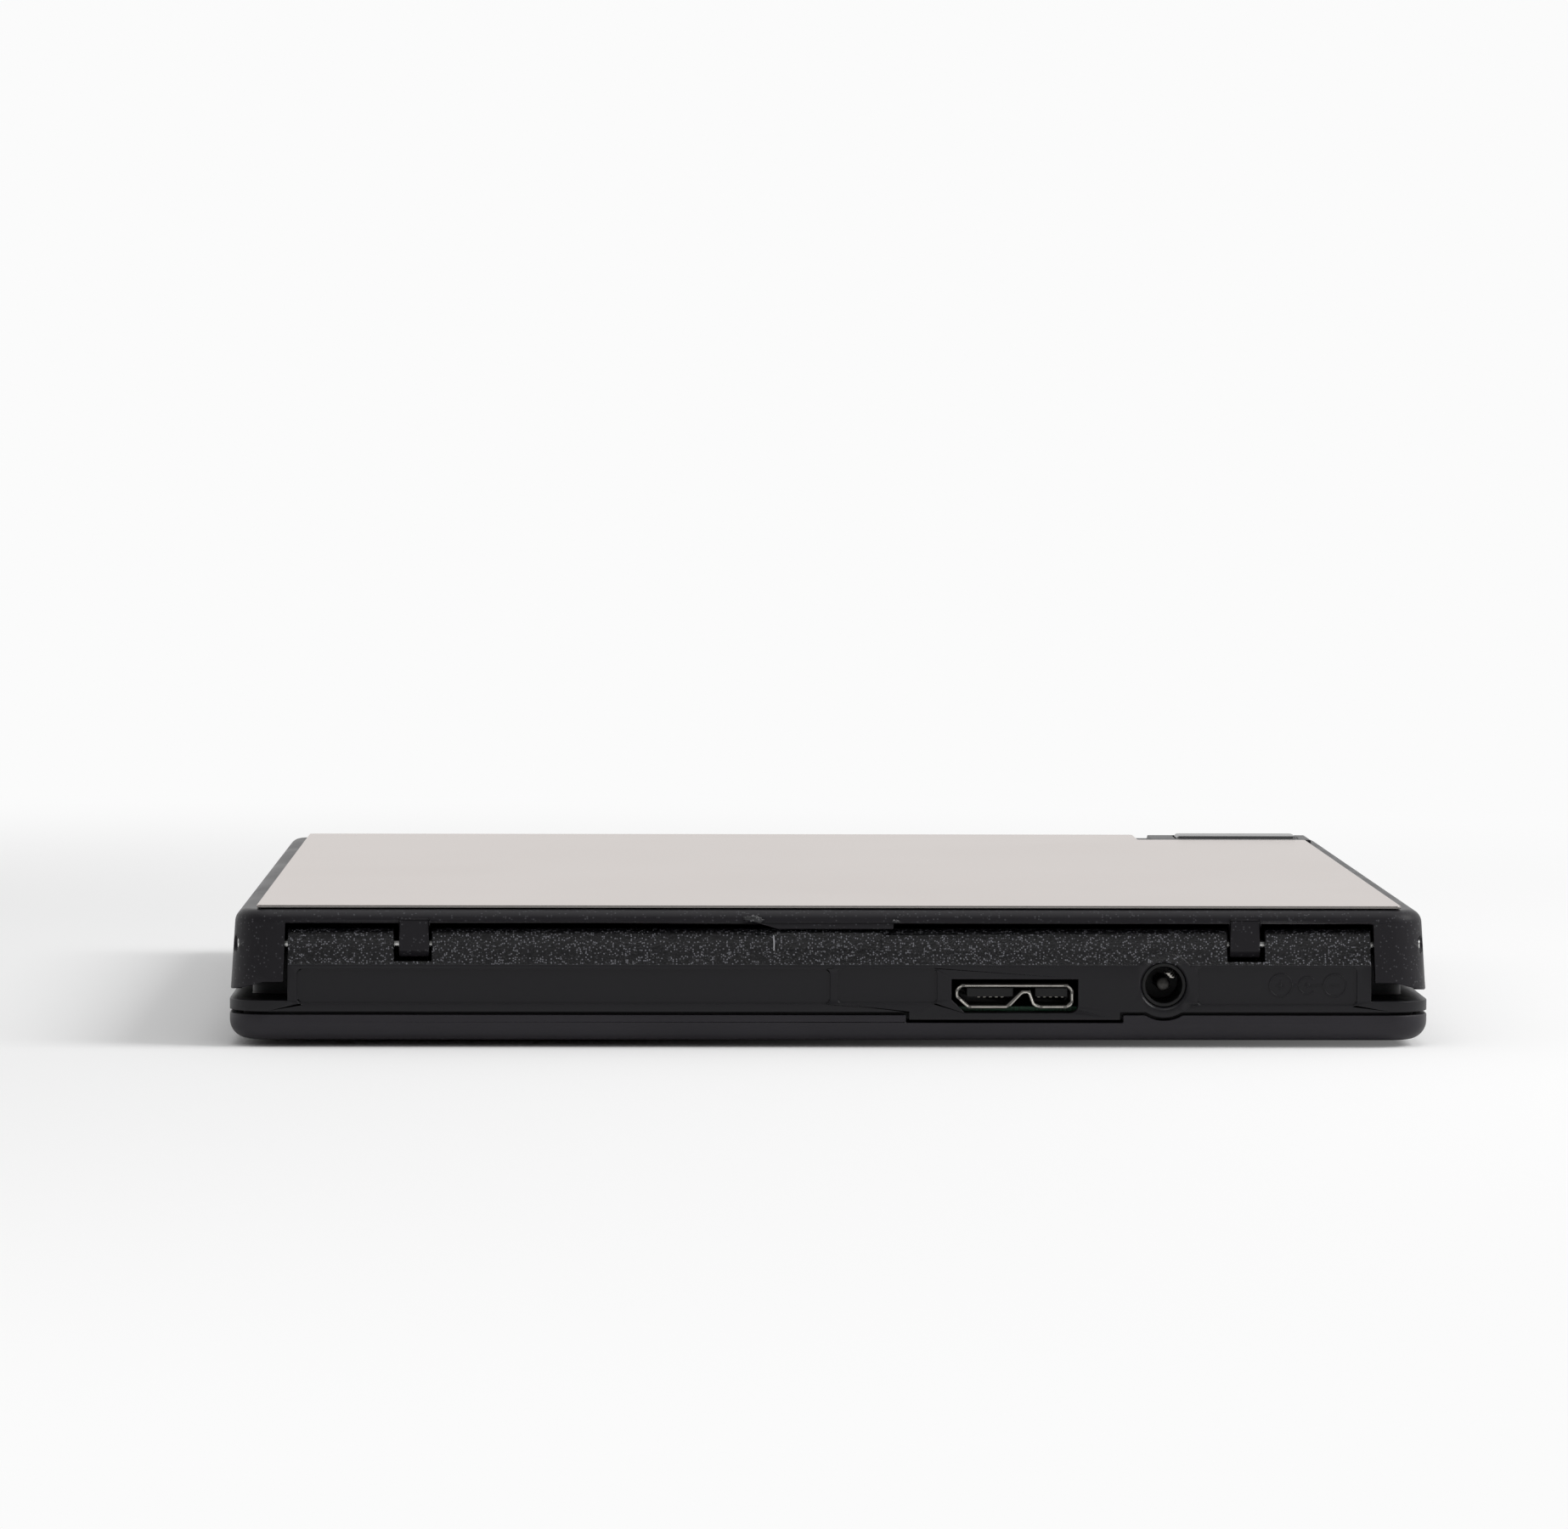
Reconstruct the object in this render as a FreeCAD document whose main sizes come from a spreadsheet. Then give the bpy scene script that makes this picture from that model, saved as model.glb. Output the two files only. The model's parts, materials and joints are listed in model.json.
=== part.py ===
"""A portable disc writer with a hinged lid, modelled closed, in millimetres.

The case stands on its feet at z = 0. Its front is towards -Y, its hinge and sockets are towards +Y,
and the origin is under the middle of the case.
"""

import FreeCAD, Part
import math
import os
import Sketcher
from FreeCAD import Placement, Rotation, Vector
from types import SimpleNamespace

# Driving dimensions, in the order in which the pieces are made.
SIZES = {
    # outline of the case
    "case_half": 66.5,
    "corner_radius": 4.5,
    "wall": 1.25,
    # heights above the table
    "foot_height": 0.7,
    "floor_top": 1.7,
    "cover_top": 3.6,
    "rim_bottom": 3.95,
    "ledge_top": 5.15,
    "skirt_bottom": 6.1,
    "deck_under": 7.2,
    "well_floor": 8.1,
    "plate_edge": 9.15,
    "deck_top": 10.4,
    "lid_under": 13.9,
    "lid_top": 15.15,
    "plate_under": 15.27,
    "plate_top": 15.6,
    # bottom cover
    "cover_edge_round": 2.1,
    "foot_radius": 4.3,
    "foot_across": 47.0,
    "foot_along": 53.0,
    "post_across": 56.5,
    "post_along": 50.0,
    "post_half": 3.0,
    "boss_top": 2.9,
    "screw_head_radius": 2.2,
    "screw_head_top": 1.6,
    "screw_radius": 0.95,
    "screw_play": 0.15,
    "boss_play": 0.2,
    "board_post_half": 1.7,
    "board_pilot_radius": 0.6,
    # deck
    "deck_half": 64.3,
    "deck_wall": 1.3,
    "deck_edge": 0.4,
    "lip_depth": 0.95,
    "lip_inset": 1.5,
    "rear_half": 59.9,
    "rear_pocket": 57.6,
    "spindle_along": -1.5,
    "well_radius": 61.0,
    "scoop_radius": 10.0,
    "scoop_out": 44.0,
    "hub_opening": 16.5,
    "slot_half": 13.5,
    "slot_reach": 60.4,
    "slot_end_radius": 6.0,
    "light_left": 20.0,
    "light_right": 24.0,
    "light_play": 0.05,
    # hinge
    "hinge_along": 63.5,
    "hinge_height": 11.3,
    "pin_radius": 0.6,
    "pin_inner": 42.5,
    "pin_outer": 65.5,
    "pin_play": 0.05,
    "pin_hole_radius": 0.9,
    "barrel_top": 13.05,
    "barrel_half": 2.2,
    "barrel_round": 1.2,
    "barrel_foot": 10.7,
    "slot_inner": 44.0,
    "slot_outer": 48.2,
    "slot_radius": 3.15,
    "knuckle_inner": 44.3,
    "knuckle_outer": 47.6,
    "knuckle_bottom": 10.0,
    # rear face
    "tab_left": 8.75,
    "tab_right": 32.1,
    "tab_bottom": 3.1,
    "tab_gap": 0.35,
    "panel_depth": 0.25,
    "panel_round": 0.5,
    "usb_left": 13.44,
    "usb_right": 27.47,
    "usb_low": 3.83,
    "usb_high": 7.61,
    "jack_across": 36.97,
    "jack_height": 6.95,
    "jack_boss_radius": 3.6,
    "jack_hole_radius": 2.5,
    "jack_half": 3.9,
    "jack_back": 52.8,
    "jack_front": 60.8,
    "jack_low": 3.2,
    "jack_top": 9.8,
    "jack_play": 0.15,
    "jack_bore_radius": 2.05,
    "jack_pin_radius": 0.8,
    "jack_floor": 58.9,
    # lid
    "lid_half": 66.4,
    "lid_draft": 3.79,
    "lid_round": 1.5,
    "skirt_half": 60.3,
    "rear_skirt_bottom": 7.2,
    "lip_bottom": 13.7,
    "plate_half": 63.4,
    "plate_long": 64.4,
    "plate_notch_across": 42.1,
    "plate_notch_along": 54.0,
    "bumper_across": 54.0,
    "bumper_along": 53.0,
    "bumper_top": 11.3,
    # eject button and latch
    "button_left": 62.7,
    "button_right": 47.35,
    "button_front": 63.6,
    "button_back": 57.4,
    "button_top": 15.85,
    "button_play": 0.2,
    "latch_front": 62.8,
    "latch_back": 60.8,
    "latch_low": 5.7,
    "latch_high": 7.3,
    "latch_left": 60.0,
    "hook_left": 42.0,
    "hook_right": 38.5,
    # spindle
    "turntable_radius": 13.0,
    "disc_seat": 9.3,
    "hub_radius": 7.45,
    "hub_top": 11.3,
    "claw_bottom": 10.5,
    # traverse, measured outwards from the spindle along the pickup's path
    "traverse_turn": -45.0,
    "rod_radius": 1.0,
    "rod_half": 17.0,
    "rod_height": 3.9,
    "rod_inner": 12.9,
    "rod_outer": 65.6,
    "lens_reach": 24.0,
    "screw_across": 22.4,
    "screw_height": 4.2,
    "thread_radius": 1.1,
    "thread_start": 10.8,
    "thread_length": 50.0,
    "sled_motor_back": -3.0,
    "sled_motor_length": 12.4,
    "sled_motor_radius": 2.9,
    "bearing_tab": 61.2,
    "tab_sheet": 0.8,
    "chassis_low": 5.6,
    "chassis_high": 6.3,
    # main board
    "board_half": 58.0,
    "board_front": 46.0,
    "board_rear": 62.8,
    "board_low": 3.5,
    "board_high": 4.3,
}


class Size:
    """A length that knows both its number and the formula that gives it from the sheet's cells."""

    def __init__(self, number, formula=None):
        self.number = float(number)
        self.formula = formula or repr(float(number))

    @staticmethod
    def of(value):
        return value if isinstance(value, Size) else Size(value)

    def __add__(self, other):
        other = Size.of(other)
        return Size(self.number + other.number, f"({self.formula} + {other.formula})")

    def __sub__(self, other):
        other = Size.of(other)
        return Size(self.number - other.number, f"({self.formula} - {other.formula})")

    def __rsub__(self, other):
        return Size.of(other) - self

    def __mul__(self, other):
        other = Size.of(other)
        return Size(self.number * other.number, f"({self.formula} * {other.formula})")

    def __neg__(self):
        return Size(-self.number, f"(-1 * {self.formula})")

    __radd__ = __add__
    __rmul__ = __mul__


def fill_sheet(doc):
    """Writes SIZES into the sheet and returns them as named sizes."""
    sheet = doc.addObject("Spreadsheet::Sheet", "Sizes")
    for row, (word, number) in enumerate(SIZES.items(), start=1):
        sheet.set(f"A{row}", word)
        sheet.set(f"B{row}", str(number))
        sheet.setAlias(f"B{row}", word)
    doc.recompute()
    return SimpleNamespace(**{word: Size(number, f"Sizes.{word}") for word, number in SIZES.items()})


# How far a rib or post starts inside the wall that carries it.
ROOT = 0.2

# Closed outlines, drawn in a sketch and pinned to the sheet.


def draw_polygon(sketch, points):
    """Draws a closed outline through points of two sizes each, and pins every corner."""
    first = len(sketch.Geometry)
    count = len(points)
    corners = [(Size.of(x), Size.of(y)) for x, y in points]
    for (x0, y0), (x1, y1) in zip(corners, corners[1:] + corners[:1]):
        sketch.addGeometry(Part.LineSegment(Vector(x0.number, y0.number), Vector(x1.number, y1.number)))
    for number, (x, y) in enumerate(corners):
        line, following = first + number, first + (number + 1) % count
        sketch.addConstraint(Sketcher.Constraint("Coincident", line, 2, following, 1))
        for kind, size in (("DistanceX", x), ("DistanceY", y)):
            place = sketch.addConstraint(Sketcher.Constraint(kind, -1, 1, line, 1, size.number))
            sketch.setExpression(f"Constraints[{place}]", size.formula)


def pin_round(sketch, number, x, y, radius):
    """Pins the centre and the radius of a circle or an arc."""
    pins = [("DistanceX", (-1, 1, number, 3), x), ("DistanceY", (-1, 1, number, 3), y), ("Radius", (number,), radius)]
    for kind, where, size in pins:
        place = sketch.addConstraint(Sketcher.Constraint(kind, *where, size.number))
        sketch.setExpression(f"Constraints[{place}]", size.formula)


def draw_rounded(sketch, left, right, low, high, radius):
    """Draws a rectangle with round corners: four arcs with pinned centres, and tangent sides."""
    radius = Size.of(radius)
    left, right, low, high = (Size.of(side) for side in (left, right, low, high))
    centres = [
        (right - radius, low + radius),
        (right - radius, high - radius),
        (left + radius, high - radius),
        (left + radius, low + radius),
    ]
    arcs = []
    for quarter, (x, y) in enumerate(centres):
        circle = Part.Circle(Vector(x.number, y.number), Vector(0, 0, 1), radius.number)
        start = (quarter - 1) * math.pi / 2
        arcs.append(sketch.addGeometry(Part.ArcOfCircle(circle, start, start + math.pi / 2)))
    for quarter, arc in enumerate(arcs):
        following = arcs[(quarter + 1) % 4]
        ends = sketch.Geometry[arc].EndPoint, sketch.Geometry[following].StartPoint
        side = sketch.addGeometry(Part.LineSegment(*ends))
        sketch.addConstraint(Sketcher.Constraint("Tangent", arc, 2, side, 1))
        sketch.addConstraint(Sketcher.Constraint("Tangent", side, 2, following, 1))
    for arc, (x, y) in zip(arcs, centres):
        pin_round(sketch, arc, x, y, radius)


def rectangle(left, right, low, high, radius=None):
    if radius is not None:
        return lambda sketch: draw_rounded(sketch, left, right, low, high, radius)
    return lambda sketch: draw_polygon(sketch, [(left, low), (right, low), (right, high), (left, high)])


def square(half, radius=None):
    return rectangle(-half, half, -half, half, radius)


def polygon(points):
    return lambda sketch: draw_polygon(sketch, points)


def squares(centres, half):
    """Equal squares about centres of two sizes each."""

    def draw(sketch):
        for x, y in centres:
            left, right, low, high = (Size.of(middle) + shift for middle in (x, y) for shift in (-half, half))
            draw_polygon(sketch, [(left, low), (right, low), (right, high), (left, high)])

    return draw


def circles(centres, radius):
    """Equal circles about centres of two sizes each."""

    def draw(sketch):
        for x, y in centres:
            x, y, size = Size.of(x), Size.of(y), Size.of(radius)
            ring = sketch.addGeometry(Part.Circle(Vector(x.number, y.number), Vector(0, 0, 1), size.number))
            pin_round(sketch, ring, x, y, size)

    return draw


# Tests that pick edges for rounding.


def upright(edge):
    return edge.Curve.TypeId == "Part::GeomLine" and abs(edge.tangentAt(edge.FirstParameter).z) > 0.9


def lying_along_x(edge):
    return edge.Curve.TypeId == "Part::GeomLine" and abs(edge.tangentAt(edge.FirstParameter).x) > 0.99


def level_at(height, slack=0.01):
    return lambda edge: max(abs(edge.BoundBox.ZMin - height), abs(edge.BoundBox.ZMax - height)) < slack


def within(low, high):
    """Edges that lie inside the box between two corners."""

    def test(edge):
        box = edge.BoundBox
        ends = ((box.XMin, box.XMax), (box.YMin, box.YMax), (box.ZMin, box.ZMax))
        return all(a - 0.01 <= start and end <= b + 0.01 for (start, end), a, b in zip(ends, low, high))

    return test


class Piece:
    """One body, built feature by feature. Sizes are numbers or sheet sizes."""

    PLANES = {"X": "YZ_Plane", "Y": "XZ_Plane", "Z": "XY_Plane"}

    def __init__(self, doc, label, placement=None):
        self.doc = doc
        self.body = doc.addObject("PartDesign::Body", label)
        self.body.Label = label
        if placement:
            self.body.Placement = placement
        self.last = None

    def sketch(self, name, draw, axis, level, turn=0.0, centre=(0.0, 0.0)):
        """A sketch square to axis at a level along it. On Y the sketch's own normal points to -Y."""
        sketch = self.body.newObject("Sketcher::SketchObject", f"{name}_outline")
        role = self.PLANES[axis]
        plane = next(found for found in self.body.Origin.OriginFeatures if found.Role == role)
        sketch.AttachmentSupport = (plane, "")
        sketch.MapMode = "FlatFace"
        level = -Size.of(level) if axis == "Y" else Size.of(level)
        spot = Vector(Size.of(centre[0]).number, Size.of(centre[1]).number, level.number)
        sketch.AttachmentOffset = Placement(spot, Rotation(Vector(0, 0, 1), turn))
        sketch.setExpression("AttachmentOffset.Base.z", level.formula)
        draw(sketch)
        return sketch

    def feature(self, kind, name, sketch, length, reverse, taper):
        feature = self.body.newObject(kind, name)
        feature.Profile = sketch
        feature.Length = length.number
        feature.setExpression("Length", length.formula)
        feature.Reversed = reverse
        if taper:
            feature.TaperAngle = -taper.number
            feature.setExpression("TaperAngle", (-taper).formula)
        return self.finish(feature)

    def finish(self, feature):
        """Computes a new feature and stops at once where it fails."""
        self.doc.recompute()
        if "Invalid" in feature.State or feature.Shape.isNull():
            raise RuntimeError(f"{self.body.Label}: {feature.Name} fails, {feature.getStatusString()}")
        self.last = feature
        return feature

    def add(self, name, draw, axis, low, high, taper=None, **place):
        low, high = Size.of(low), Size.of(high)
        sketch = self.sketch(name, draw, axis, low, **place)
        return self.feature("PartDesign::Pad", name, sketch, high - low, axis == "Y", taper)

    def cut(self, name, draw, axis, low, high, taper=None, **place):
        """Cuts from low to high. With a taper the outline is the one at low."""
        low, high = Size.of(low), Size.of(high)
        upwards = bool(taper) or axis == "Y"
        sketch = self.sketch(name, draw, axis, low if upwards else high, **place)
        before = self.last.Shape.Volume
        feature = self.feature("PartDesign::Pocket", name, sketch, high - low, upwards and axis != "Y", taper)
        if feature.Shape.Volume > before - 1e-6:
            raise RuntimeError(f"{self.body.Label}: {name} cuts nothing")
        return feature

    def edge_feature(self, kind, name, amount, prop, wanted):
        shape = self.last.Shape
        names = [f"Edge{number}" for number, edge in enumerate(shape.Edges, start=1) if wanted(edge)]
        if not names:
            raise RuntimeError(f"{self.body.Label}: {name} finds no edge")
        base = self.last
        feature = self.body.newObject(kind, name)
        feature.Base = (base, names)
        amount = Size.of(amount)
        setattr(feature, prop, amount.number)
        feature.setExpression(prop, amount.formula)
        self.finish(feature)

    def fillet(self, name, radius, wanted):
        self.edge_feature("PartDesign::Fillet", name, radius, "Radius", wanted)

    def chamfer(self, name, length, wanted):
        self.edge_feature("PartDesign::Chamfer", name, length, "Size", wanted)

    def turn(self, name, points):
        """A solid of revolution about the body's Z axis, from (radius, height) corners."""
        sketch = self.sketch(name, polygon(points), "Y", 0.0)
        feature = self.body.newObject("PartDesign::Revolution", name)
        feature.Profile = sketch
        feature.ReferenceAxis = (sketch, ["V_Axis"])
        feature.Angle = 360.0
        self.finish(feature)


def cylinder(doc, name, radius, length, base, axis=(0, 0, 1)):
    """A round bar from base along axis. Its radius, its length and its base follow the sheet."""
    bar = doc.addObject("Part::Cylinder", name)
    bar.setExpression("Radius", Size.of(radius).formula)
    bar.setExpression("Height", Size.of(length).formula)
    bar.Placement.Rotation = Rotation(Vector(0, 0, 1), Vector(*axis))
    for letter, value in zip("xyz", base):
        bar.setExpression(f"Placement.Base.{letter}", Size.of(value).formula)
    return bar


def block(doc, name, low, high):
    """A box between two corners."""
    low, high = [Size.of(value) for value in low], [Size.of(value) for value in high]
    box = doc.addObject("Part::Box", name)
    for prop, start, end in zip(("Length", "Width", "Height"), low, high):
        box.setExpression(prop, (end - start).formula)
    for letter, value in zip("xyz", low):
        box.setExpression(f"Placement.Base.{letter}", value.formula)
    return box


def join(doc, label, members):
    """Overlapping members made one solid."""
    whole = doc.addObject("Part::MultiFuse", label)
    whole.Shapes = members
    whole.Refine = True
    whole.Label = label
    return whole


def group(doc, label, members, placement=None):
    """Separate solids kept as one node."""
    whole = doc.addObject("Part::Compound", label)
    whole.Links = members
    whole.Label = label
    if placement:
        whole.Placement = placement
    return whole


def span(side, near, far):
    """The two ends of a stretch along one axis, on the left for -1 and on the right for 1."""
    near, far = Size.of(near), Size.of(far)
    return (near, far) if side > 0 else (-far, -near)


def four_corners(across, along):
    return [(side * across, end * along) for side in (-1, 1) for end in (-1, 1)]


# Outer case.


def make_bottom_cover(doc, size):
    """The tray that closes the case from below, with its posts and screw bosses."""
    piece = Piece(doc, "bottom_cover")
    half, inner = size.case_half, size.case_half - size.wall
    piece.add("slab", square(half, size.corner_radius), "Z", size.foot_height, size.cover_top)
    piece.fillet("lower_edge", size.cover_edge_round, level_at(SIZES["foot_height"]))
    piece.cut("inside", square(inner, size.corner_radius - size.wall), "Z", size.floor_top, size.cover_top)
    posts = four_corners(size.post_across, size.post_along)
    root = size.floor_top - ROOT
    piece.add("screw_bosses", squares(posts, size.post_half + size.boss_play), "Z", root, size.boss_top)
    shank, head = size.screw_radius + size.screw_play, size.screw_head_radius + size.screw_play
    piece.cut("screw_holes", circles(posts, shank), "Z", size.foot_height, size.boss_top)
    piece.cut("head_recesses", circles(posts, head), "Z", size.foot_height, size.screw_head_top)
    gap = size.tab_gap
    step = rectangle(-size.tab_right - gap, -size.tab_left + gap, size.tab_bottom - gap, size.cover_top)
    piece.cut("tab_step", step, "Y", inner - ROOT, half)
    arch = circles([(-size.jack_across, size.jack_height)], size.jack_boss_radius + gap)
    piece.cut("jack_arch", arch, "Y", inner - ROOT, half)
    piece.add("board_posts", squares(BOARD_POSTS, size.board_post_half), "Z", root, size.board_low)
    pilots = circles(BOARD_POSTS, size.board_pilot_radius)
    piece.cut("board_pilots", pilots, "Z", size.floor_top + ROOT, size.board_low)
    rest_width, rest_gap = 1.6, 0.05
    for name, left in (("left_latch_rest", -59.6), ("right_latch_rest", -50.0)):
        rest = rectangle(left, left + rest_width, -size.latch_front, -size.latch_back)
        piece.add(name, rest, "Z", root, size.latch_low - rest_gap)
    return piece.body


# Where the circuit board is screwed down.
BOARD_POSTS = [(-50.0, 3.0), (44.0, 52.0)]


def make_deck(doc, size):
    """The upper half of the base: rim, disc well, rear socket wall and hinge barrels."""
    piece = Piece(doc, "deck")
    half, deck = size.case_half, size.deck_half
    lip, hollow = half - size.lip_inset, deck - size.deck_wall
    piece.add("rim", square(half, size.corner_radius), "Z", size.rim_bottom, size.ledge_top)
    upper = rectangle(-deck, deck, -deck, size.rear_pocket, size.corner_radius - half + deck)
    piece.add("upper", upper, "Z", size.ledge_top, size.deck_top)
    piece.chamfer("upper_edge", size.deck_edge, level_at(SIZES["deck_top"]))
    lip_bottom = size.rim_bottom - size.lip_depth
    piece.add("lip", square(lip, size.corner_radius - size.lip_inset), "Z", lip_bottom, size.rim_bottom)
    make_hinge_barrel(piece, size)
    make_hollow(piece, size, hollow)
    make_rear_wall(piece, size)
    make_disc_well(piece, size)
    make_latch_bay(piece, size)
    posts = four_corners(size.post_across, size.post_along)
    piece.add("screw_posts", squares(posts, size.post_half), "Z", size.boss_top, size.deck_under + ROOT)
    pilot_floor = size.deck_under - 0.5
    piece.cut("screw_pilots", circles(posts, size.screw_radius), "Z", size.boss_top, pilot_floor)
    low, high = size.rim_bottom + LIGHT_INSET, size.ledge_top - LIGHT_INSET
    piece.cut("light_window", rectangle(size.light_left, size.light_right, low, high), "Y", -half, -hollow)
    return piece.body


# How far the light's window stays inside the rim's lower and upper faces.
LIGHT_INSET = 0.25


def make_hinge_barrel(piece, size):
    """The long bar at the rear that the hinge pins run into, over the socket wall."""
    rear, front = size.hinge_along + size.barrel_half, size.hinge_along - size.barrel_half
    start = size.rear_pocket - 0.6
    wall = rectangle(start, size.case_half, size.rim_bottom, size.plate_edge)
    piece.add("rear_block", wall, "X", -size.rear_half, size.rear_half)
    ramp_foot = size.case_half - 0.25
    section = [
        (start, size.well_floor),
        (ramp_foot, size.well_floor),
        (ramp_foot, size.plate_edge),
        (rear, size.barrel_foot),
        (rear, size.barrel_top),
        (front, size.barrel_top),
        (front, size.deck_top),
        (start, size.deck_top),
    ]
    piece.add("barrel", polygon(section), "X", -size.rear_half, size.rear_half)
    top = level_at(SIZES["barrel_top"])
    piece.fillet("barrel_top_edges", size.barrel_round, lambda edge: lying_along_x(edge) and top(edge))
    notch_depth = 0.3
    notch = rectangle(-5.8, 6.2, size.barrel_foot, size.barrel_top)
    piece.cut("centre_notch", notch, "Y", rear - notch_depth, rear)
    axis = [(size.hinge_along, size.hinge_height)]
    for name, side in (("left", -1), ("right", 1)):
        slot = span(side, size.slot_inner, size.slot_outer)
        piece.cut(f"{name}_knuckle_slot", circles(axis, size.slot_radius), "X", *slot)
        bore = span(side, size.pin_inner, size.rear_half)
        piece.cut(f"{name}_pin_bore", circles(axis, size.pin_radius), "X", *bore)


def make_hollow(piece, size, hollow):
    """Opens the deck from below, leaving its ceiling, its walls and the ledge at the rear corners."""
    bottom = size.rim_bottom - size.lip_depth
    side = size.rear_half - size.deck_wall
    step = size.rear_pocket - size.deck_wall
    rear = size.case_half - size.deck_wall
    corner = 1.2
    piece.cut("lip_inside", square(hollow, corner), "Z", bottom, size.rim_bottom)
    piece.cut("main_hollow", rectangle(-hollow, hollow, -hollow, step, corner), "Z", bottom, size.deck_under)
    piece.cut("rear_hollow", rectangle(-side, side, step - ROOT, rear), "Z", size.rim_bottom, size.deck_under)


def make_rear_wall(piece, size):
    """The socket wall: the lowered tab, the openings and the shallow panels."""
    outer, inner = size.case_half, size.case_half - size.deck_wall
    tab = rectangle(-size.tab_right, -size.tab_left, size.tab_bottom, size.rim_bottom + ROOT)
    piece.add("socket_tab", tab, "Y", inner, outer)
    jack = [(-size.jack_across, size.jack_height)]
    piece.add("jack_boss", circles(jack, size.jack_boss_radius), "Y", inner - ROOT, outer)
    side = size.jack_half + size.jack_play
    bay = rectangle(-size.jack_across - side, -size.jack_across + side, size.jack_back - size.jack_play, 61.6)
    piece.cut("jack_bay", bay, "Z", size.rim_bottom - size.lip_depth, size.jack_top + size.jack_play)
    piece.cut("jack_hole", circles(jack, size.jack_hole_radius), "Y", 61.0, outer)
    mouth = within((-40, outer.number, 4), (-34, outer.number, 10))
    piece.chamfer("jack_mouth", 0.3, lambda edge: mouth(edge) and edge.Curve.TypeId == "Part::GeomCircle")
    inner_end, round_side, cut_corner = inner - 3.0, 0.9, 1.5
    socket = [
        (-size.usb_right, size.usb_low),
        (-size.usb_left - cut_corner, size.usb_low),
        (-size.usb_left, size.usb_low + cut_corner),
        (-size.usb_left, size.usb_high),
        (-size.usb_right, size.usb_high),
    ]
    piece.cut("usb_opening", polygon(socket), "Y", inner_end, outer)
    opening = within((-27.6, inner.number, 3.8), (-13.3, outer.number, 7.7))

    def square_corner(edge):
        tangent = edge.tangentAt(edge.FirstParameter)
        slanted = edge.BoundBox.ZMin < 5.5 and edge.BoundBox.XMin > -20
        return opening(edge) and abs(tangent.y) > 0.99 and not slanted

    piece.fillet("usb_corners", round_side, square_corner)
    floor = outer - size.panel_depth
    for number, sides in enumerate(PANELS, start=1):
        outline = rectangle(*sides, size.panel_round)
        piece.cut(f"panel_{number}", outline, "Y", floor, outer)


# The shallow panels of the socket wall, as (left, right, low, high) seen from the front.
PANELS = [(-0.02, 58.86, 4.85, 8.7), (-11.85, -0.85, 4.93, 8.8), (-58.33, -40.7, 4.72, 8.95)]


def make_disc_well(piece, size):
    """The round well, its finger scoops, the hub opening and the pickup's slot."""
    middle = [(0.0, size.spindle_along)]
    piece.cut("well", circles(middle, size.well_radius), "Z", size.well_floor, size.deck_top)
    for name, side in (("rear_scoop", 1), ("front_scoop", -1)):
        spot = (side * size.scoop_out, side * size.scoop_out + 2 * size.spindle_along)
        piece.cut(name, circles([spot], size.scoop_radius), "Z", size.well_floor, size.deck_top)
    piece.cut("hub_hole", circles(middle, size.hub_opening), "Z", size.deck_under, size.well_floor)
    way = rectangle(0.0, size.slot_reach, -size.slot_half, size.slot_half, size.slot_end_radius)
    place = {"turn": SIZES["traverse_turn"], "centre": (0.0, size.spindle_along)}
    piece.cut("pickup_slot", way, "Z", size.deck_under, size.well_floor, **place)
    ears = [traverse_placement().multVec(Vector(x, y, 0)) for x, y in DAMPERS]
    pilots = [(spot.x, spot.y) for spot in ears]
    low, pilot_depth = size.deck_under, 0.6
    piece.cut("damper_pilots", circles(pilots, size.screw_radius), "Z", low, low + pilot_depth)


def make_latch_bay(piece, size):
    """Room for the latch bar under the deck, and the slots that the button and the hook come down."""
    roof, play = size.deck_top - 1.1, 0.3
    front, back = -size.latch_front - play, -size.latch_back + play
    bay = rectangle(-size.latch_left - 2.5, -size.hook_right + 2.0, front, back)
    piece.cut("latch_bay", bay, "Z", size.deck_under, roof)
    slots = (("button_slot", -57.2, -52.9), ("hook_slot", -size.hook_left - 1.1, -size.hook_right + 0.5))
    for name, left, right in slots:
        piece.cut(name, rectangle(left, right, front, back), "Z", roof, size.deck_top)


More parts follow.
